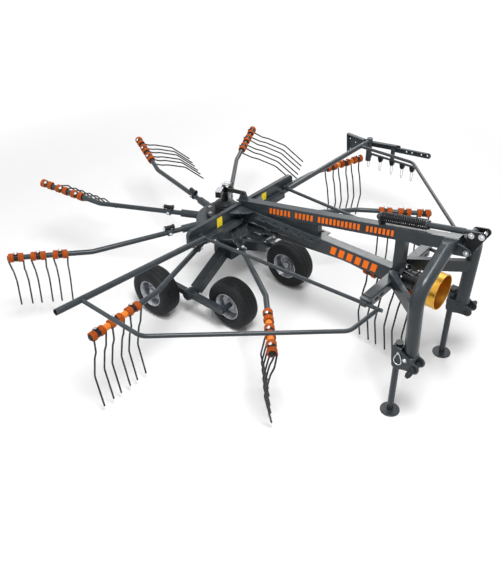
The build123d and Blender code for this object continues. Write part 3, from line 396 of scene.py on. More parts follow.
class Finish(Nodes):
    """A procedural material, built node by node on Object coordinates."""

    def __init__(self, name):
        self.material = bpy.data.materials.new(name)
        self.material.use_nodes = True
        super().__init__(self.material.node_tree)
        self.shader = self.tree.nodes["Principled BSDF"]
        self.place = self.node("ShaderNodeTexCoord", {}, {}, "Object")

    def noise(self, scale, detail=3.0, roughness=0.55, place=None):
        """Cloudy pattern of values about one half."""
        return self.node("ShaderNodeTexNoise", {"noise_dimensions": "3D"},
                         {"Vector": place or self.place, "Scale": scale, "Detail": detail,
                          "Roughness": roughness})

    def stretched(self, factors):
        """Object coordinates drawn out along each axis."""
        return self.node("ShaderNodeMapping", {}, {"Vector": self.place, "Scale": factors})

    def mix(self, share, first, second):
        """Colour between two, by a share."""
        return self.node("ShaderNodeMix", {"data_type": "RGBA"}, {0: share, 6: first, 7: second}, 2)

    def facing_up(self):
        """One on faces that look up, nought on upright and under faces."""
        normal = self.node("ShaderNodeNewGeometry", {}, {}, "Normal")
        height = self.node("ShaderNodeSeparateXYZ", {}, {0: normal}, 2)
        return height.held(0.35, 0.95)

    def softened(self, radius):
        """Normal that turns gently over edges, within the radius."""
        return self.node("ShaderNodeBevel", {"samples": 6}, {"Radius": radius})

    def edges(self, soft):
        """One along edges: where a softened normal leaves the face's own."""
        own = self.node("ShaderNodeNewGeometry", {}, {}, "Normal")
        along = self.node("ShaderNodeVectorMath", {"operation": "DOT_PRODUCT"}, {0: soft, 1: own}, 1)
        return (1 - along).held(0.03, 0.22)

    def bump(self, height, strength, distance, soft=None):
        """Relief from a height pattern, over the face's own normal or a softened one."""
        sockets = {"Height": height, "Strength": strength, "Distance": distance}
        if soft:
            sockets["Normal"] = soft
        return self.node("ShaderNodeBump", {}, sockets)

    def set(self, **sockets):
        """Values or links for the shader, by socket name with underscores."""
        for name, value in sockets.items():
            self.feed(self.shader.inputs[name.replace("_", " ")], value)
        return self.material


def rgb(red, green, blue):
    """Linear colour with full alpha, from display values out of 255."""
    level = np.array((red, green, blue)) / 255
    linear = np.where(level <= 0.04045, level / 12.92, ((level + 0.055) / 1.055) ** 2.4)
    return (*[float(v) for v in linear], 1.0)


def paint(name, colour, pale, dust, roughness, coat, peel=420.0):
    """Sprayed paint: cloudy drift of tone, pale edges that are partly worn paint and partly a painted
    highlight, thin dust on upper faces, orange-peel relief.
    """
    finish = Finish(name)
    drift = finish.noise(5.5, 4.0)
    smudge = finish.noise(23.0, 5.0, 0.62)
    soft = finish.softened(0.004)
    tone = finish.mix(drift.held(0.3, 0.72) * 0.55, colour, pale)
    # Edges turn towards the dust colour: partly worn paint, partly a painted highlight along every edge.
    worn_and_highlit = finish.mix(finish.edges(soft) * smudge.held(0.25, 0.6) * 0.6, tone, dust)
    settled = finish.facing_up() * smudge.held(0.38, 0.78) * 0.12
    shade = finish.mix(settled, worn_and_highlit, dust)
    gloss = roughness + smudge.held(0.3, 0.8) * 0.14 + settled * 0.5
    relief = finish.bump(finish.noise(peel, 2.0), 0.08, 0.0006, soft)
    finish.set(Coat_Weight=coat, Coat_Roughness=0.12, Specular_IOR_Level=0.22)
    return finish.set(Base_Color=shade, Roughness=gloss, Normal=relief)


def metal(name, colour, dull, roughness, grain):
    """Bare or plated metal: fine drawn-out grain in tone and gloss, with dull blotches."""
    finish = Finish(name)
    brushed = finish.noise(1.0, 4.0, 0.6, finish.stretched(grain))
    blotch = finish.noise(31.0, 4.0)
    shade = finish.mix(blotch.held(0.42, 0.75) * 0.6, colour, dull)
    gloss = roughness + brushed.held(0.3, 0.7) * 0.14 + blotch.held(0.45, 0.8) * 0.15
    relief = finish.bump(brushed, 0.12, 0.0004)
    finish.set(Metallic=1.0)
    return finish.set(Base_Color=shade, Roughness=gloss, Normal=relief)


def rubber(name):
    """Tyre rubber: near black with grey bloom, dust in the lower relief and a fine grain."""
    finish = Finish(name)
    bloom = finish.noise(9.0, 5.0, 0.6)
    grain = finish.noise(260.0, 3.0)
    dust = finish.noise(28.0, 5.0, 0.65).held(0.52, 0.8) * 0.3
    shade = finish.mix(bloom.held(0.35, 0.75), rgb(18, 19, 21), rgb(34, 36, 39))
    dusty = finish.mix(dust, shade, rgb(74, 72, 68))
    gloss = 0.5 + bloom.held(0.3, 0.7) * 0.2 + dust * 0.5
    finish.set(Specular_IOR_Level=0.2)
    return finish.set(Base_Color=dusty, Roughness=gloss, Normal=finish.bump(grain, 0.2, 0.0006))


def lacquer(name, colour, deep, roughness):
    """Bright enamel on wire and sleeves: darker in blotches, chipped to a grey primer along edges."""
    finish = Finish(name)
    blotch = finish.noise(60.0, 4.0, 0.6)
    chips = finish.noise(190.0, 3.0)
    shade = finish.mix(blotch.held(0.38, 0.72) * 0.6, colour, deep)
    chipped = finish.mix(chips.held(0.66, 0.72) * 0.55, shade, rgb(70, 52, 44))
    gloss = roughness + blotch.held(0.3, 0.7) * 0.15
    finish.set(Specular_IOR_Level=0.18)
    return finish.set(Base_Color=chipped, Roughness=gloss, Normal=finish.bump(chips, 0.12, 0.0005))


# The dust colour of each paint also tints its edges: worn paint there, and partly a painted highlight.
GREY = paint("anthracite_paint", rgb(40, 46, 50), rgb(54, 61, 66), rgb(124, 131, 136), 0.27, 0.22)
DARK = paint("dark_tine_paint", rgb(30, 33, 36), rgb(42, 46, 49), rgb(92, 96, 99), 0.36, 0.08)
BLACK = paint("black_paint", rgb(15, 16, 18), rgb(27, 29, 31), rgb(84, 88, 92), 0.3, 0.1)
STEEL = metal("plated_steel", rgb(205, 207, 210), rgb(150, 153, 158), 0.2, (60.0, 300.0, 60.0))
RIM = metal("rim_silver", rgb(160, 163, 168), rgb(118, 121, 126), 0.3, (40.0, 220.0, 40.0))
GOLD = metal("gold_plating", rgb(224, 172, 70), rgb(208, 152, 54), 0.24, (9.0, 3.0, 3.0))
RUBBER = rubber("tyre_rubber")
ORANGE = lacquer("coil_orange", rgb(182, 84, 20), rgb(132, 56, 12), 0.34)
SLEEVE = lacquer("sleeve_orange", rgb(226, 130, 52), rgb(210, 112, 38), 0.3)
STRIPE = lacquer("stripe_orange", rgb(246, 118, 18), rgb(238, 106, 14), 0.5)
YELLOW = lacquer("patch_yellow", rgb(250, 226, 48), rgb(240, 212, 40), 0.45)

NODE_FINISH = {
    "pto_shield": GOLD,
    "input_shaft": STEEL,
    "rocker_pins": STEEL,
    "rocker_plates": BLACK,
    "input_housing": BLACK,
    "gearbox": BLACK,
    "height_crank": BLACK,
    "lower_link_pins": DARK,
}
for node_name, node in nodes.items():
    node.data.materials.clear()
    node.data.materials.append(NODE_FINISH.get(node_name, GREY))


# Tines: coils, legs and clamps of each arm

def arm_turn(arm):
    """Angle of an arm about the rotor's axis, counted on in equal steps from the first."""
    return radians(FIRST_ARM_ANGLE + (arm - 1) * 360 / ARM_COUNT)


def arm_directions(arm):
    """Crank corner of an arm, its run beyond the corner, and the tines' lead and drop directions."""
    turn = arm_turn(arm)
    outward = np.array((cos(turn), sin(turn), 0.0))
    raised = radians(CRANK_LIFT[arm - 1])
    aside = np.array((sin(turn), -cos(turn), 0.0)) * cos(raised) + UP * sin(raised)
    along = outward * cos(radians(CRANK_ANGLE)) + aside * sin(radians(CRANK_ANGLE))
    corner = spot(CRANK_AT * cos(turn), CRANK_AT * sin(turn), ARM_Z)
    ahead = unit(np.cross(UP, along))
    above = np.cross(along, ahead)
    lift = radians(TINE_LIFT[arm - 1])
    lead = ahead * cos(lift) - above * sin(lift)
    drop = -above * cos(lift) - ahead * sin(lift)
    return corner, along, lead, drop


# Tine leg: lead and drop of the wire's bends below the coil's centre
LEG_BENDS = np.array(((COIL_R, 0), (14, 118), (-9, 172), (-45, 347), (0, 587)))
LEG_BEND_REACH = 18.0
LEG_DRAWN_IN = (0.0, 8.0, 8.0, 8.0, 8.0)
# Clamp of each pair of coils, with a lug that leans back from the tines and carries a bolt
CLAMP_PROFILE = collar(-14.5, 14.5, ARM_R, 27.9, 1.5)
LUG = rectangle(-13, -15, 13, 15)
LUG_T = 13.0
LUG_FOOT = 24.0
LUG_TOP = 36.5
LUG_LEAN = 0.25
LUG_BOLT_R = 11.0
# Bright sleeves between the pairs
SLEEVE_GAP = 19.0
SLEEVE_R = 22.5
SLEEVE_EDGE = 1.5
PLUG_PROFILE = ((-1, 0), (-1, 18), (0, 19), (3, 18.5), (5, 15), (5.5, 0))

for arm in range(1, ARM_COUNT + 1):
    corner, along, lead, drop = arm_directions(arm)
    coils = []
    legs = []
    clamps = []
    bolts = []
    for number, place in enumerate(TINE_PLACES):
        hub = corner + along * place / 1000
        axis = along * (-1 if number % 2 == 0 else 1)
        inner = hub - axis * COIL_LENGTH / 2000
        outer = hub + axis * COIL_LENGTH / 2000
        first = lead * cos(-COIL_TURNS * 2 * pi) + drop * sin(-COIL_TURNS * 2 * pi)
        swing = 1 if np.dot(np.cross(axis, first), np.cross(np.cross(lead, drop), first)) > 0 else -1
        coil = helix(inner, axis, first, COIL_R, COIL_LENGTH, swing * COIL_TURNS)
        coils.append(tube(coil, COIL_WIRE, along))
        bends = outer + (np.outer(LEG_BENDS[:, 0], lead) + np.outer(LEG_BENDS[:, 1], drop)
                         - np.outer(LEG_DRAWN_IN, axis)) / 1000
        legs.append(tube(bent(bends, LEG_BEND_REACH), LEG_WIRE, along))
    for near, far in zip(TINE_PLACES[::2], TINE_PLACES[1::2]):
        middle = corner + along * (near + far) / 2000
        top = unit(-drop - lead * LUG_LEAN)
        clamps.append(lathe(CLAMP_PROFILE, middle, along, 32, closed=True))
        clamps.append(slab(LUG, LUG_T, middle + top * LUG_FOOT / 1000, along, np.cross(top, along)))
        bolts.append(dome_bolt(middle + top * LUG_TOP / 1000, top, LUG_BOLT_R))
    piece(f"tine_coils_{arm}", coils, ORANGE, "rotor")
    piece(f"tine_legs_{arm}", legs, DARK, "rotor", stands_for=(f"tines_{arm}",))
    piece(f"tine_clamps_{arm}", clamps, BLACK, "rotor", bevel=1.5)
    piece(f"clamp_bolts_{arm}", bolts, STEEL, "rotor")
    if arm in SLEEVED_ARMS:
        sleeves = []
        for near, far in zip(TINE_PLACES[1:-1:2], TINE_PLACES[2:-1:2]):
            section = collar(0, far - near - 2 * SLEEVE_GAP, ARM_R, SLEEVE_R, SLEEVE_EDGE)
            start = corner + along * (near + SLEEVE_GAP) / 1000
            sleeves.append(lathe(section, start, along, 36, closed=True))
        piece(f"arm_sleeves_{arm}", sleeves, SLEEVE, "rotor")
    end = corner + along * ARM_END_RUN / 1000
    piece(f"arm_plug_{arm}", [lathe(PLUG_PROFILE, end, along, 32)], BLACK, "rotor")


# Wheels: distances along the axle from the wheel's middle, and radii
TREAD_HALF = 58.0
TREAD_POINTS = 75
TREAD_FALL = 7.5
TREAD_POWER = 2.2
GROOVES = (-34.0, 0.0, 34.0)
GROOVE_HALF = 3.0
GROOVE_DEPTH = 6.5
TYRE_WALL = np.array(((66, 187.5), (73, 180), (78, 167), (80, 150), (79.5, 136), (77.5, 124), (76, 121.5),
                      (74.5, 121.5), (72.5, 118), (68, 110), (63, 103.5), (60, 101.8)))
RIM_PROFILE = ((-70, 108), (-71, 105), (-69, 101), (-63, 96), (-56, 91), (-38, 87), (-14, 85), (-11, 80),
               (-9, 62), (-5, 50), (-7, 43), (-33, 42), (-35, 39), (-35, 20.4), (35, 20.4), (35, 39),
               (33, 42), (6, 43), (4, 50), (1, 62), (-1, 80), (3, 86), (38, 88), (56, 92), (63, 97),
               (69, 101.5), (71, 105), (70, 108), (66, 108), (62, 103), (61, 101.2), (-61, 101.2), (-62, 103),
               (-66, 108))
CAP_PROFILE = ((33, 0), (33, 31), (36, 32), (40, 30), (50, 28), (55, 24), (58, 14), (59, 0))
# Thin ring over each rim's lip, in bright steel: a painted highlight along the lip.
LIP_HIGHLIGHT_PROFILE = np.array(((66, 107.5), (71.5, 107), (72.5, 104.5), (70, 102), (66, 103)))
NUT_COUNT = 5
NUT_CIRCLE = 66.0
NUT_FACE = 0.5
NUT_ACROSS = 15.0


def tyre_profile():
    """Tyre section: a crowned tread that falls off a little faster than the square of the distance from its
    middle, cut by three grooves, each a bell of the fourth power, then shoulders and bulged walls down to a
    flat seat on the rim."""
    tread = np.linspace(-TREAD_HALF, TREAD_HALF, TREAD_POINTS)
    grooves = sum(np.exp(-((tread - centre) / GROOVE_HALF) ** 4) for centre in GROOVES)
    crown = TYRE_R - TREAD_FALL * (np.abs(tread) / TREAD_HALF) ** TREAD_POWER - GROOVE_DEPTH * grooves
    return np.concatenate((TYRE_WALL[::-1] * (-1, 1), np.stack((tread, crown), -1), TYRE_WALL))


for wheel, (wheel_x, wheel_y, face) in WHEELS.items():
    centre = spot(wheel_x, wheel_y, WHEEL_Z)
    outward = LEFT * face
    body = f"wheel_{wheel}"
    piece(f"ribbed_tyre_{wheel}", [lathe(tyre_profile(), centre, outward, 120, closed=True)], RUBBER, body,
          sharp=60.0, stands_for=(f"tyre_{wheel}",))
    rim = [lathe(RIM_PROFILE, centre, outward, 96, closed=True), lathe(CAP_PROFILE, centre, outward, 40)]
    piece(f"dished_rim_{wheel}", rim, RIM, body, sharp=50.0, stands_for=(f"rim_{wheel}",))
    # Bright steel over the lip: a painted highlight, lighter than the rim's own silver.
    lip = [lathe(LIP_HIGHLIGHT_PROFILE * (way, 1), centre, outward, 96, closed=True) for way in (-1, 1)]
    piece(f"rim_lip_highlight_{wheel}", lip, STEEL, body, sharp=60.0)
    nuts = []
    for place in bolt_circle(centre + outward * NUT_FACE / 1000, FORWARD, UP, NUT_CIRCLE, NUT_COUNT):
        nuts.extend(hex_bolt(place, outward, NUT_ACROSS))
    piece(f"wheel_nuts_{wheel}", nuts, STEEL, body, sharp=25.0)


# Suspension spring above the top beam, wound round its rod from the seat
SEAT = spot(1352, 0, 1152.6)
ROD_EYE = spot(1956, 0, 1268)
SPRING_START = 10.5
SPRING_LENGTH = 302.0
SPRING_R = 29.5
SPRING_WIRE = 4.9
SPRING_TURNS = 20.5
rod_along = unit(ROD_EYE - SEAT)
spring_line = helix(SEAT + rod_along * SPRING_START / 1000, rod_along, np.cross(rod_along, LEFT), SPRING_R,
                    SPRING_LENGTH, SPRING_TURNS)
piece("spring_coil", [tube(spring_line, SPRING_WIRE, rod_along)], BLACK, "frame",
      stands_for=("spring",))


# Plain stripes on the sides of the beams. Groups: first x, number of bars, bar length, pitch and height
TOP_STRIPES = ((462, 6, 20, 33, 44), (690, 5, 20, 33, 44), (885, 11, 19, 31, 44), (1262, 7, 18, 30, 42))
LOW_STRIPES = ((1008, 3, 42, 66, 62), (1206, 3, 40, 62, 62))
TOP_STRIPE_Z = BEAM_TOP + TOP_H / 2
LOW_STRIPE_Z = 784.0
STRIPE_SLANT = 0.22
STRIPE_T = 1.0
STRIPE_SUNK = 0.5


def stripes(groups, side, half, start_z, slope):
    """Slanted bars on one side of a beam of the given half width: rectangles sheared forwards by a share of
    their height, on a line that rises by the slope from start_z at the foot of the top beam."""
    along = np.array((1.0, 0.0, slope))
    up = np.array((-slope, 0.0, 1.0))
    bars = []
    for start, count, width, pitch, height in groups:
        outline = np.array(rectangle(0, -height / 2, width, height / 2))
        outline[2:, 0] += height * STRIPE_SLANT
        for x in start + pitch * np.arange(count):
            origin = spot(x, side * (half - STRIPE_SUNK), start_z + (x - TOP_RISE_START) * slope)
            bars.append(slab(outline * (-side, 1), STRIPE_T, origin, along * -side, up))
    return bars


for side_name, side in SIDES:
    bars = stripes(TOP_STRIPES, side, TOP_HALF, TOP_STRIPE_Z, TOP_SLOPE)
    bars.extend(stripes(LOW_STRIPES, side, LOW_HALF, LOW_STRIPE_Z, 0.0))
    piece(f"beam_stripes_{side_name}", bars, STRIPE, "frame", sharp=20.0)


# Blank patches on the cross beam's front face: lowest y, bottom z, highest y and top z
CROSS_FRONT = 200.0
PATCHES = ((-304.0, 768.0, -249.0, 843.0), (200.0, 772.0, 255.0, 834.0))
PATCH_T = 1.0
patches = [slab(rectangle(*patch), PATCH_T, spot(CROSS_FRONT, 0, 0), LEFT, UP) for patch in PATCHES]
piece("blank_patches", patches, YELLOW, "frame", sharp=20.0)


# Corner gussets between the cross beam and the main beam: x and distance from the middle
GUSSET = np.array(((200.5, 42.0), (335.0, 42.0), (316.0, 96.0), (216.0, 176.0), (200.5, 176.0)))
GUSSET_T = 9.0
gussets = [slab(GUSSET * (1, side), GUSSET_T, spot(0, 0, BEAM_TOP), FORWARD, LEFT) for name, side in SIDES]
piece("corner_gussets", gussets, GREY, "frame", bevel=1.5)


# Hitch: shaped cheeks (x and z), stand sleeve, cover plate, lynch-pin ring and bolt on each side
CHEEK_NOSE = [tuple(point) for point in disc(1898, 468, 36, 9, -75, 145)]
CHEEK_FOOT = [(1753, 424), (1764, 414), (1795, 414), (1840, 428), (1880, 434), *CHEEK_NOSE, (1884, 512)]
OUTER_CHEEK = [(1738, 574), (1743, 500), *CHEEK_FOOT, (1858, 530), (1829, 545), (1808, 556), (1805, 574)]
INNER_CHEEK = [(1746, 500), *CHEEK_FOOT, (1858, 520), (1760, 520)]
CHEEK_T = 12.0
OUTER_Y = 406.5
INNER_Y = 326.0
STAND_X = 1767.0
STAND_Y = 366.25
STAND_SLEEVE = ((414, 21.6), (414, 33), (558, 33), (560, 31), (560, 21.6))
COVER = rectangle(1802, -34, 1888, 34)
COVER_T = 11.0
COVER_Z = 509.0
PIN_X = 1895.0
PIN_Z = 456.0
PIN_SLEEVE = ((412, 13.9), (412, 22), (420, 22), (421, 19), (464, 19), (468, 16.5), (468, 13.9))
RING_CENTRE = (1793.0, 418.0, 500.0)
RING_WIDE = 33.0
RING_TALL = 45.0
RING_WIRE = 3.6
STUD = (1790.0, 412.0, 541.0)
STUD_PROFILE = ((0, 0), (0, 9), (9, 9), (11, 7), (11, 0))
CHEEK_BOLT = (1837.0, 412.5, 506.0)
CHEEK_BOLT_R = 13.0


def pear_line():
    """Pear-shaped ring about nought (m): height follows the cosine of the angle, and width its sine times
    the sine of half the angle, so that both ends draw to the top."""
    turn = np.linspace(0, 2 * pi, 49)
    wide = RING_WIDE * np.sin(turn) * np.sin(turn / 2)
    return (np.outer(wide, FORWARD) + np.outer(RING_TALL * np.cos(turn), UP)) / 1000


cheeks = []
fittings = []
sleeves = []
for side_name, side in SIDES:
    face = LEFT * side
    for outline, y in ((OUTER_CHEEK, OUTER_Y), (INNER_CHEEK, INNER_Y)):
        cheeks.append(slab(outline, CHEEK_T, spot(0, side * y + CHEEK_T / 2, 0), FORWARD, UP))
    cheeks.append(lathe(STAND_SLEEVE, spot(STAND_X, side * STAND_Y, 0), UP, 40, closed=True))
    cheeks.append(slab(COVER, COVER_T, spot(0, side * STAND_Y, COVER_Z), FORWARD, LEFT))
    fittings.append(tube(beside(RING_CENTRE, side) + pear_line(), RING_WIRE, face))
    fittings.append(lathe(STUD_PROFILE, beside(STUD, side), face, 24))
    fittings.append(dome_bolt(beside(CHEEK_BOLT, side), face, CHEEK_BOLT_R))
    sleeves.append(lathe(PIN_SLEEVE, spot(PIN_X, 0, PIN_Z), face, 40, closed=True))
piece("link_pin_sleeves", sleeves, DARK, "frame", sharp=35.0)
piece("hitch_cheeks", cheeks, GREY, "frame", bevel=2.0, stands_for=("hitch_plates",))
piece("hitch_fittings", fittings, STEEL, "frame")


# Tandem beams: a slim bar between the wheels, cut for a bored pivot boss, and two stub axles on each side
TANDEM_Y = 475.0
TANDEM_PIVOT_X = 44.0
TANDEM_HALF = 23.0
TANDEM_W = 46.0
TANDEM_PAST_AXLE = 8.0
BORE_R = 26.0
BORE_ROOM = 2.0
BOSS_PROFILE = ((-30, BORE_R), (-30, 44), (30, 44), (30, BORE_R))
STUB_R = 20.0
for side_name, side in SIDES:
    axles = [WHEELS[f"{end}_{side_name}"][:2] for end in ("front", "rear")]
    front_x, rear_x = [x for x, y in axles]
    middle = side * TANDEM_Y
    outline = bar_outline(rear_x - TANDEM_PAST_AXLE, front_x + TANDEM_PAST_AXLE, TANDEM_HALF)
    beam = []
    for end, way in zip(np.split(outline, 2), (-1, 1)):
        x = TANDEM_PIVOT_X + way * (BORE_R + BORE_ROOM)
        cut = [(x, end[-1][1]), (x, end[0][1])]
        beam.append(slab(np.concatenate((end, cut)), TANDEM_W, spot(0, middle + TANDEM_W / 2, WHEEL_Z),
                         FORWARD, UP))
    beam.append(lathe(BOSS_PROFILE, spot(TANDEM_PIVOT_X, middle, WHEEL_Z), LEFT, 48, closed=True))
    for x, y in axles:
        beam.append(rod(spot(x, middle, WHEEL_Z), spot(x, y, WHEEL_Z), STUB_R, 32))
    piece(f"tandem_beam_{side_name}", beam, GREY, f"tandem_{side_name}", bevel=2.5,
          stands_for=(f"tandem_{side_name}",))


# Swath former: flanged plate, post, two lapped angle bars, low rail and hairpin tines
FORMER_Y = 1700.0
POST_X = 242.0
POST_LOW = 588.0
POST_HIGH = 806.0
POST_R = 26.0
SLIDE_START_Y = 1050.0
SLIDE_Z = 782.0
SLIDE_R = 16.7
PLATE = ((4, 794), (19, 617), (196, 699), (222, 700), (222, 784), (186, 781))
PLATE_HOLES = ((28, 742), (88, 721), (38, 642))
PLATE_HOLE_R = 6.5
PLATE_T = 8.0
PLATE_BACK = 12.0
# Folded edges of the plate, along its top and its rear
FOLDS = ((PLATE[5], PLATE[0]), (PLATE[0], PLATE[1]))
FOLD_DEPTH = 34.0
FOLD_T = 7.0
FOLD_FRONT = 24.0
# Lapped bars: rear end x and z, length, half height, rise in degrees and depth
REAR_BAR = (222.0, 749.0, 330.0, 27.0, 6.4, 36.0)
FRONT_BAR = (512.0, 768.0, 340.0, 25.0, 5.6, 24.0)
FRONT_BAR_HOLES = (14.0, 106.0, 160.0, 250.0, 308.0)
BAR_HOLE_R = 7.5
BAR_WEB = 7.0
RAIL_START_X = 242.0
RAIL_END_X = 715.0
RAIL_Z = 660.0
RAIL_R = 11.0
HANGER_X = 489.0
HANGER_TOP = 790.0
HANGER_R = 24.0
HAIRPINS = (250.0, 373.0, 492.0, 598.0, 697.0)
HOLDER = ((-26, 44), (-17, 8), (-6, 0), (6, 0), (17, 8), (26, 44))
HOLDER_T = 28.0
HOLDER_LOW = RAIL_Z - RAIL_R - 40.0
HAIRPIN = np.array(((-11, 4), (-10, -60), (-5, -84), (0, -92), (5, -84), (10, -60), (11, 4)))
HAIRPIN_REACH = 3.0
HAIRPIN_WIRE = 3.4
former = [rod(spot(POST_X, FORMER_Y, POST_LOW), spot(POST_X, FORMER_Y, POST_HIGH), POST_R, 40)]
former.append(rod(spot(POST_X, SLIDE_START_Y, SLIDE_Z), spot(POST_X, FORMER_Y, SLIDE_Z), SLIDE_R, 32))
former.append(holed_plate([PLATE] + [disc(x, z, PLATE_HOLE_R) for x, z in PLATE_HOLES], PLATE_T,
                          spot(0, FORMER_Y + PLATE_BACK, 0), FORWARD, UP))
for (x, z), (next_x, next_z) in FOLDS:
    run = np.hypot(next_x - x, next_z - z)
    former.append(slab(rectangle(0, 0, run, FOLD_DEPTH), FOLD_T, spot(x, FORMER_Y - FOLD_FRONT, z),
                       (next_x - x, 0, next_z - z), LEFT))
for (x, z, run, half, rise, depth), openings in ((REAR_BAR, ()), (FRONT_BAR, FRONT_BAR_HOLES)):
    along = (cos(radians(rise)), 0, sin(radians(rise)))
    up = (-sin(radians(rise)), 0, cos(radians(rise)))
    web = [bar_outline(0, run - half, half) if openings else rectangle(0, -half, run, half)]
    web.extend(disc(place, 0, BAR_HOLE_R) for place in openings)
    flange = rectangle(0, half - BAR_WEB, run - half, half)
    back = spot(x, FORMER_Y + depth / 2, z)
    former.append(holed_plate(web, BAR_WEB, back, along, up))
    former.append(slab(flange, depth, back, along, up))
former.append(rod(spot(HANGER_X, FORMER_Y, RAIL_Z), spot(HANGER_X, FORMER_Y, HANGER_TOP), HANGER_R, 4))
former.append(rod(spot(RAIL_START_X, FORMER_Y, RAIL_Z), spot(RAIL_END_X, FORMER_Y, RAIL_Z), RAIL_R, 24))
piece("former_bars", former, GREY, "swath_former", bevel=1.2, stands_for=("former_frame",))
holders = []
hairpins = []
for x in HAIRPINS:
    holders.append(slab(HOLDER, HOLDER_T, spot(x, FORMER_Y + HOLDER_T / 2, HOLDER_LOW), FORWARD, UP))
    line = spot(x, FORMER_Y, HOLDER_LOW) + (HAIRPIN[:, :1] * FORWARD + HAIRPIN[:, 1:] * UP) / 1000
    hairpins.append(tube(bent(line, HAIRPIN_REACH), HAIRPIN_WIRE, LEFT, 8))
piece("hairpin_holders", holders, BLACK, "swath_former", bevel=2.0,
      stands_for=("former_tines",))
piece("hairpin_tines", hairpins, STEEL, "swath_former")


# Height adjuster: rings round the column, pale cover of the grip and plate of the crank head
COLUMN_RING_R = 79.0
COLUMN_RING_WIRE = 6.0
COLUMN_RINGS = (744.0, 768.0)
GRIP_AIM = radians(297.0)
GRIP_COVER = rectangle(98, -22, 180, 22)
GRIP_COVER_T = 5.0
GRIP_Z = 959.0
CRANK_X = 18.0
CRANK_PLATE = rectangle(-24, -30, 30, 30)
CRANK_PLATE_T = 6.0
CRANK_PLATE_Z = 947.0
CRANK_BOLT_R = 12.0
rings = [weld(ring_line(spot(0, 0, z), UP, COLUMN_RING_R), UP, COLUMN_RING_WIRE) for z in COLUMN_RINGS]
piece("column_rings", rings, BLACK, "frame")
grip_along = np.array((cos(GRIP_AIM), sin(GRIP_AIM), 0.0))
covers = [slab(GRIP_COVER, GRIP_COVER_T, spot(0, 0, GRIP_Z), grip_along, np.cross(UP, grip_along))]
covers.append(slab(CRANK_PLATE, CRANK_PLATE_T, spot(CRANK_X, 0, CRANK_PLATE_Z), FORWARD, LEFT))
covers.append(dome_bolt(spot(CRANK_X, 0, CRANK_PLATE_Z + CRANK_PLATE_T), UP, CRANK_BOLT_R))
piece("adjuster_covers", covers, STEEL, "frame", bevel=1.0)


# Bolts of the input flange and the hub disc
INPUT_Z = 785.0
FLANGE_FACE = 1572.0
FLANGE_BOLTS = 6
FLANGE_CIRCLE = 74.0
FLANGE_BOLT_ACROSS = 13.0
DISC_TOP = 720.0
DISC_BOLTS = 8
DISC_CIRCLE = 126.0
DISC_BOLT_ACROSS = 15.0
input_face = spot(FLANGE_FACE, 0, INPUT_Z)
bolts = []
for place in bolt_circle(input_face, LEFT, UP, FLANGE_CIRCLE, FLANGE_BOLTS, 0.5):
    bolts.extend(hex_bolt(place, FORWARD, FLANGE_BOLT_ACROSS))
for place in bolt_circle(spot(0, 0, DISC_TOP), FORWARD, LEFT, DISC_CIRCLE, DISC_BOLTS, 0.5):
    bolts.extend(hex_bolt(place, UP, DISC_BOLT_ACROSS))
piece("frame_bolts", bolts, STEEL, "frame", sharp=25.0)


# Arm collars: a bolt on each side and a spring lock on top (distance along the arm and radius)
COLLAR_AT = 465.0
COLLAR_SIDE = 28.5
COLLAR_BOLT_ACROSS = 14.0
LOCK_HEIGHT = 42.0
LOCK_BARREL = ((-42, 0), (-42, 16), (-38, 20), (-30, 20), (-27, 15), (24, 15), (26, 18.5), (34, 18.5),
               (36, 13), (36, 0))
LOCK_CAP = ((35.5, 0), (35.5, 13), (44, 13), (47, 10), (47, 0))
collar_bolts = []
locks = []
lock_caps = []
for arm in range(1, ARM_COUNT + 1):
    turn = arm_turn(arm)
    outward = np.array((cos(turn), sin(turn), 0.0))
    aside = np.array((-sin(turn), cos(turn), 0.0))
    centre = spot(0, 0, ARM_Z) + outward * COLLAR_AT / 1000
    for way in (-1, 1):
        place = centre + aside * way * COLLAR_SIDE / 1000
        collar_bolts.extend(hex_bolt(place, aside * way, COLLAR_BOLT_ACROSS))
    lock = centre + UP * LOCK_HEIGHT / 1000
    locks.append(lathe(LOCK_BARREL, lock, outward, 32))
    lock_caps.append(lathe(LOCK_CAP, lock, outward, 24))
piece("collar_bolts", collar_bolts, STEEL, "rotor", sharp=25.0)
piece("arm_locks", locks, BLACK, "rotor", sharp=35.0)
piece("arm_lock_caps", lock_caps, STEEL, "rotor", sharp=35.0)


# Domed caps on the ends of the rocker's pins: x, distance from the middle and z
ROCKER_ENDS = ((1950, 56.9, 1150), (1956, 44.9, 1268), (2016, 44.9, 1280))
ROCKER_CAP_R = 8.0
caps = [dome_bolt(beside(end, side), LEFT * side, ROCKER_CAP_R)
        for end in ROCKER_ENDS for name, side in SIDES]
piece("rocker_caps", caps, STEEL, "frame")


# Black cups under the holes of the arm racks: painted shade inside the holes
RACK_HOLES = [(430.0 + 110.0 * step, side * 66.0) for step in range(5) for name, side in SIDES]
HOLE_SHADE_TOP = 816.5
HOLE_SHADE_PROFILE = ((0, 0), (0, 13.5), (-14, 12), (-16, 10), (-16, 0))
sockets = [lathe(HOLE_SHADE_PROFILE, spot(x, y, HOLE_SHADE_TOP), UP, 24) for x, y in RACK_HOLES]
piece("rack_hole_shade", sockets, BLACK, "frame")


# Input bearing: six ribs (distance from the flange and from the shaft's axis) and three rings
RIB_COUNT = 6
RIB = ((0, 58), (0, 84), (14, 84), (62, 66), (112, 64), (112, 58))
RIB_T = 11.0
BEARING_RINGS = (1604.0, 1650.0, 1692.0)
BEARING_RING_PROFILE = collar(-5, 5, 60, 69, 2)
ribs = []
for angle in np.arange(RIB_COUNT) * 2 * pi / RIB_COUNT:
    outward = LEFT * cos(angle) + UP * sin(angle)
    ribs.append(slab(RIB, RIB_T, input_face - np.cross(FORWARD, outward) * RIB_T / 2000, FORWARD, outward))
for x in BEARING_RINGS:
    ribs.append(lathe(BEARING_RING_PROFILE, spot(x, 0, INPUT_Z), FORWARD, 64, closed=True))
piece("bearing_ribs", ribs, BLACK, "frame", bevel=1.0)


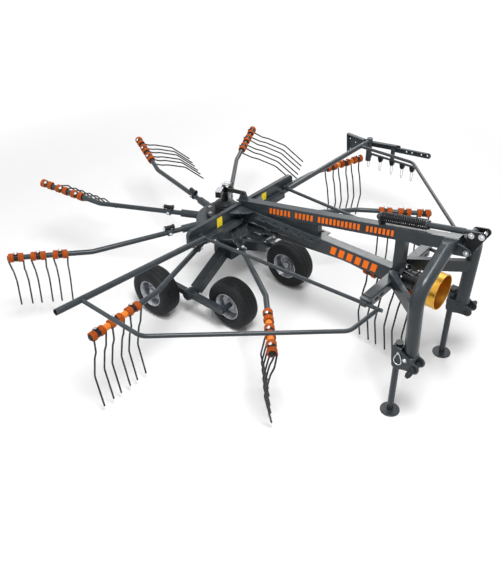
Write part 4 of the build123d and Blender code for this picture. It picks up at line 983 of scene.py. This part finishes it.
# Weld beads at the feet of the headstock legs
LEG_FOOT = (1845.0, 351.0, 522.0)
LEG_SPLAY = 0.096
LEG_WELD_R = 45.5
LEG_WELD_SIZE = 4.5
welds = []
for side_name, side in SIDES:
    lean = UP + LEFT * side * LEG_SPLAY
    welds.append(weld(ring_line(beside(LEG_FOOT, side), lean, LEG_WELD_R), lean, LEG_WELD_SIZE))
piece("leg_welds", welds, GREY, "frame")


# Floor, lights and camera, in metres

# Distances from the middle between which the floor fades to plain white
FLOOR_FADE = (2.5, 4.6)
FLOOR_RINGS = np.array((0.0, 4.0, 12.0, 60.0))
FLOOR_SIDES = 64
WORLD_LEVEL = 0.3
WHITE = (1.0, 1.0, 1.0, 1.0)
# Lamps: name, place, target, size and power in watts
LAMPS = (
    ("key_light", (2.2, -1.8, 6.3), (0.2, 0.0, 0.5), 2.4, 400.0),
    ("fill_light", (-3.5, -4.5, 4.0), (0.0, 0.0, 0.5), 3.0, 55.0),
    ("rim_light", (-2.0, 5.0, 4.5), (0.0, 0.0, 0.6), 2.6, 150.0),
)
CAMERA_PLACE = (2.902, -3.301, 3.276)
CAMERA_AIM = (-0.5274, 0.6387, -0.5604)
LENS_MM = 41.96
LENS_SHIFT = (-0.0215, -0.0415)


def seen_rays(network):
    """One for rays from the camera, from a reflection or through something, nought for light on objects."""
    camera_ray, glossy_ray, passed_ray = [network.node("ShaderNodeLightPath", {}, {}, f"Is {kind} Ray")
                                          for kind in ("Camera", "Glossy", "Transmission")]
    return (camera_ray + glossy_ray + passed_ray).held(0.0, 1.0)


def plain_floor():
    """Floor: a wide flat disc of rings about the middle of the object, with a soft pale tone that takes the
    object's shadow and fades to plain white far out."""
    turn = np.linspace(0, 2 * pi, FLOOR_SIDES, endpoint=False)
    ring = np.stack((np.cos(turn), np.sin(turn), np.zeros(FLOOR_SIDES)), -1)
    points = (ring[None] * FLOOR_RINGS[:, None, None]).reshape(-1, 3)
    mesh = bpy.data.meshes.new("floor")
    mesh.from_pydata(points.tolist(), [], grid_faces(len(FLOOR_RINGS), FLOOR_SIDES, round_columns=True))
    made = bpy.data.objects.new("floor", mesh)
    bpy.context.scene.collection.objects.link(made)
    finish = Finish("floor_pale")
    cloud = finish.noise(1.3, 3.0)
    finish.set(Specular_IOR_Level=0.1, Roughness=0.95)
    pale = finish.mix(cloud, rgb(244, 244, 245), rgb(250, 250, 250))
    mesh.materials.append(finish.set(Base_Color=pale))
    reach = finish.node("ShaderNodeVectorMath", {"operation": "LENGTH"}, {0: finish.place}, 1)
    white = finish.node("ShaderNodeEmission", {}, {"Color": WHITE, "Strength": 1.0})
    lit = Value(finish, finish.shader.outputs[0])
    share = reach.held(*FLOOR_FADE) * seen_rays(finish)
    blend = finish.node("ShaderNodeMixShader", {}, {0: share, 1: lit, 2: white})
    finish.feed(finish.tree.nodes["Material Output"].inputs["Surface"], blend)


def soft_light(name, place, target, size, power):
    """Square area lamp that looks at a target."""
    lamp = bpy.data.lights.new(name, "AREA")
    lamp.shape = "SQUARE"
    lamp.size = size
    lamp.energy = power
    made = bpy.data.objects.new(name, lamp)
    bpy.context.scene.collection.objects.link(made)
    made.location = place
    made.rotation_euler = (Vector(target) - Vector(place)).to_track_quat("-Z", "Y").to_euler()


def white_studio(level):
    """World: an even white glow of the given level on the object, and plain white where it is seen
    directly, in a reflection or through something."""
    world = bpy.data.worlds.new("studio")
    bpy.context.scene.world = world
    world.use_nodes = True
    studio = Nodes(world.node_tree)
    background = world.node_tree.nodes["Background"]
    background.inputs["Color"].default_value = WHITE
    studio.feed(background.inputs["Strength"], level + seen_rays(studio) * (1.0 - level))


plain_floor()
white_studio(WORLD_LEVEL)
for lamp in LAMPS:
    soft_light(*lamp)

lens = bpy.data.cameras.new("photo_camera")
lens.lens = LENS_MM
lens.sensor_width = 36.0
lens.shift_x, lens.shift_y = LENS_SHIFT
lens.clip_end = 200.0
camera = bpy.data.objects.new("photo_camera", lens)
bpy.context.scene.collection.objects.link(camera)
ahead = Vector(CAMERA_AIM).normalized()
level = ahead.cross(Vector(UP)).normalized()
above = level.cross(ahead)
turned = Matrix((level, above, -ahead)).transposed()
camera.matrix_world = Matrix.Translation(CAMERA_PLACE) @ turned.to_4x4()
bpy.context.scene.camera = camera
bpy.context.scene.view_settings.view_transform = "Standard"
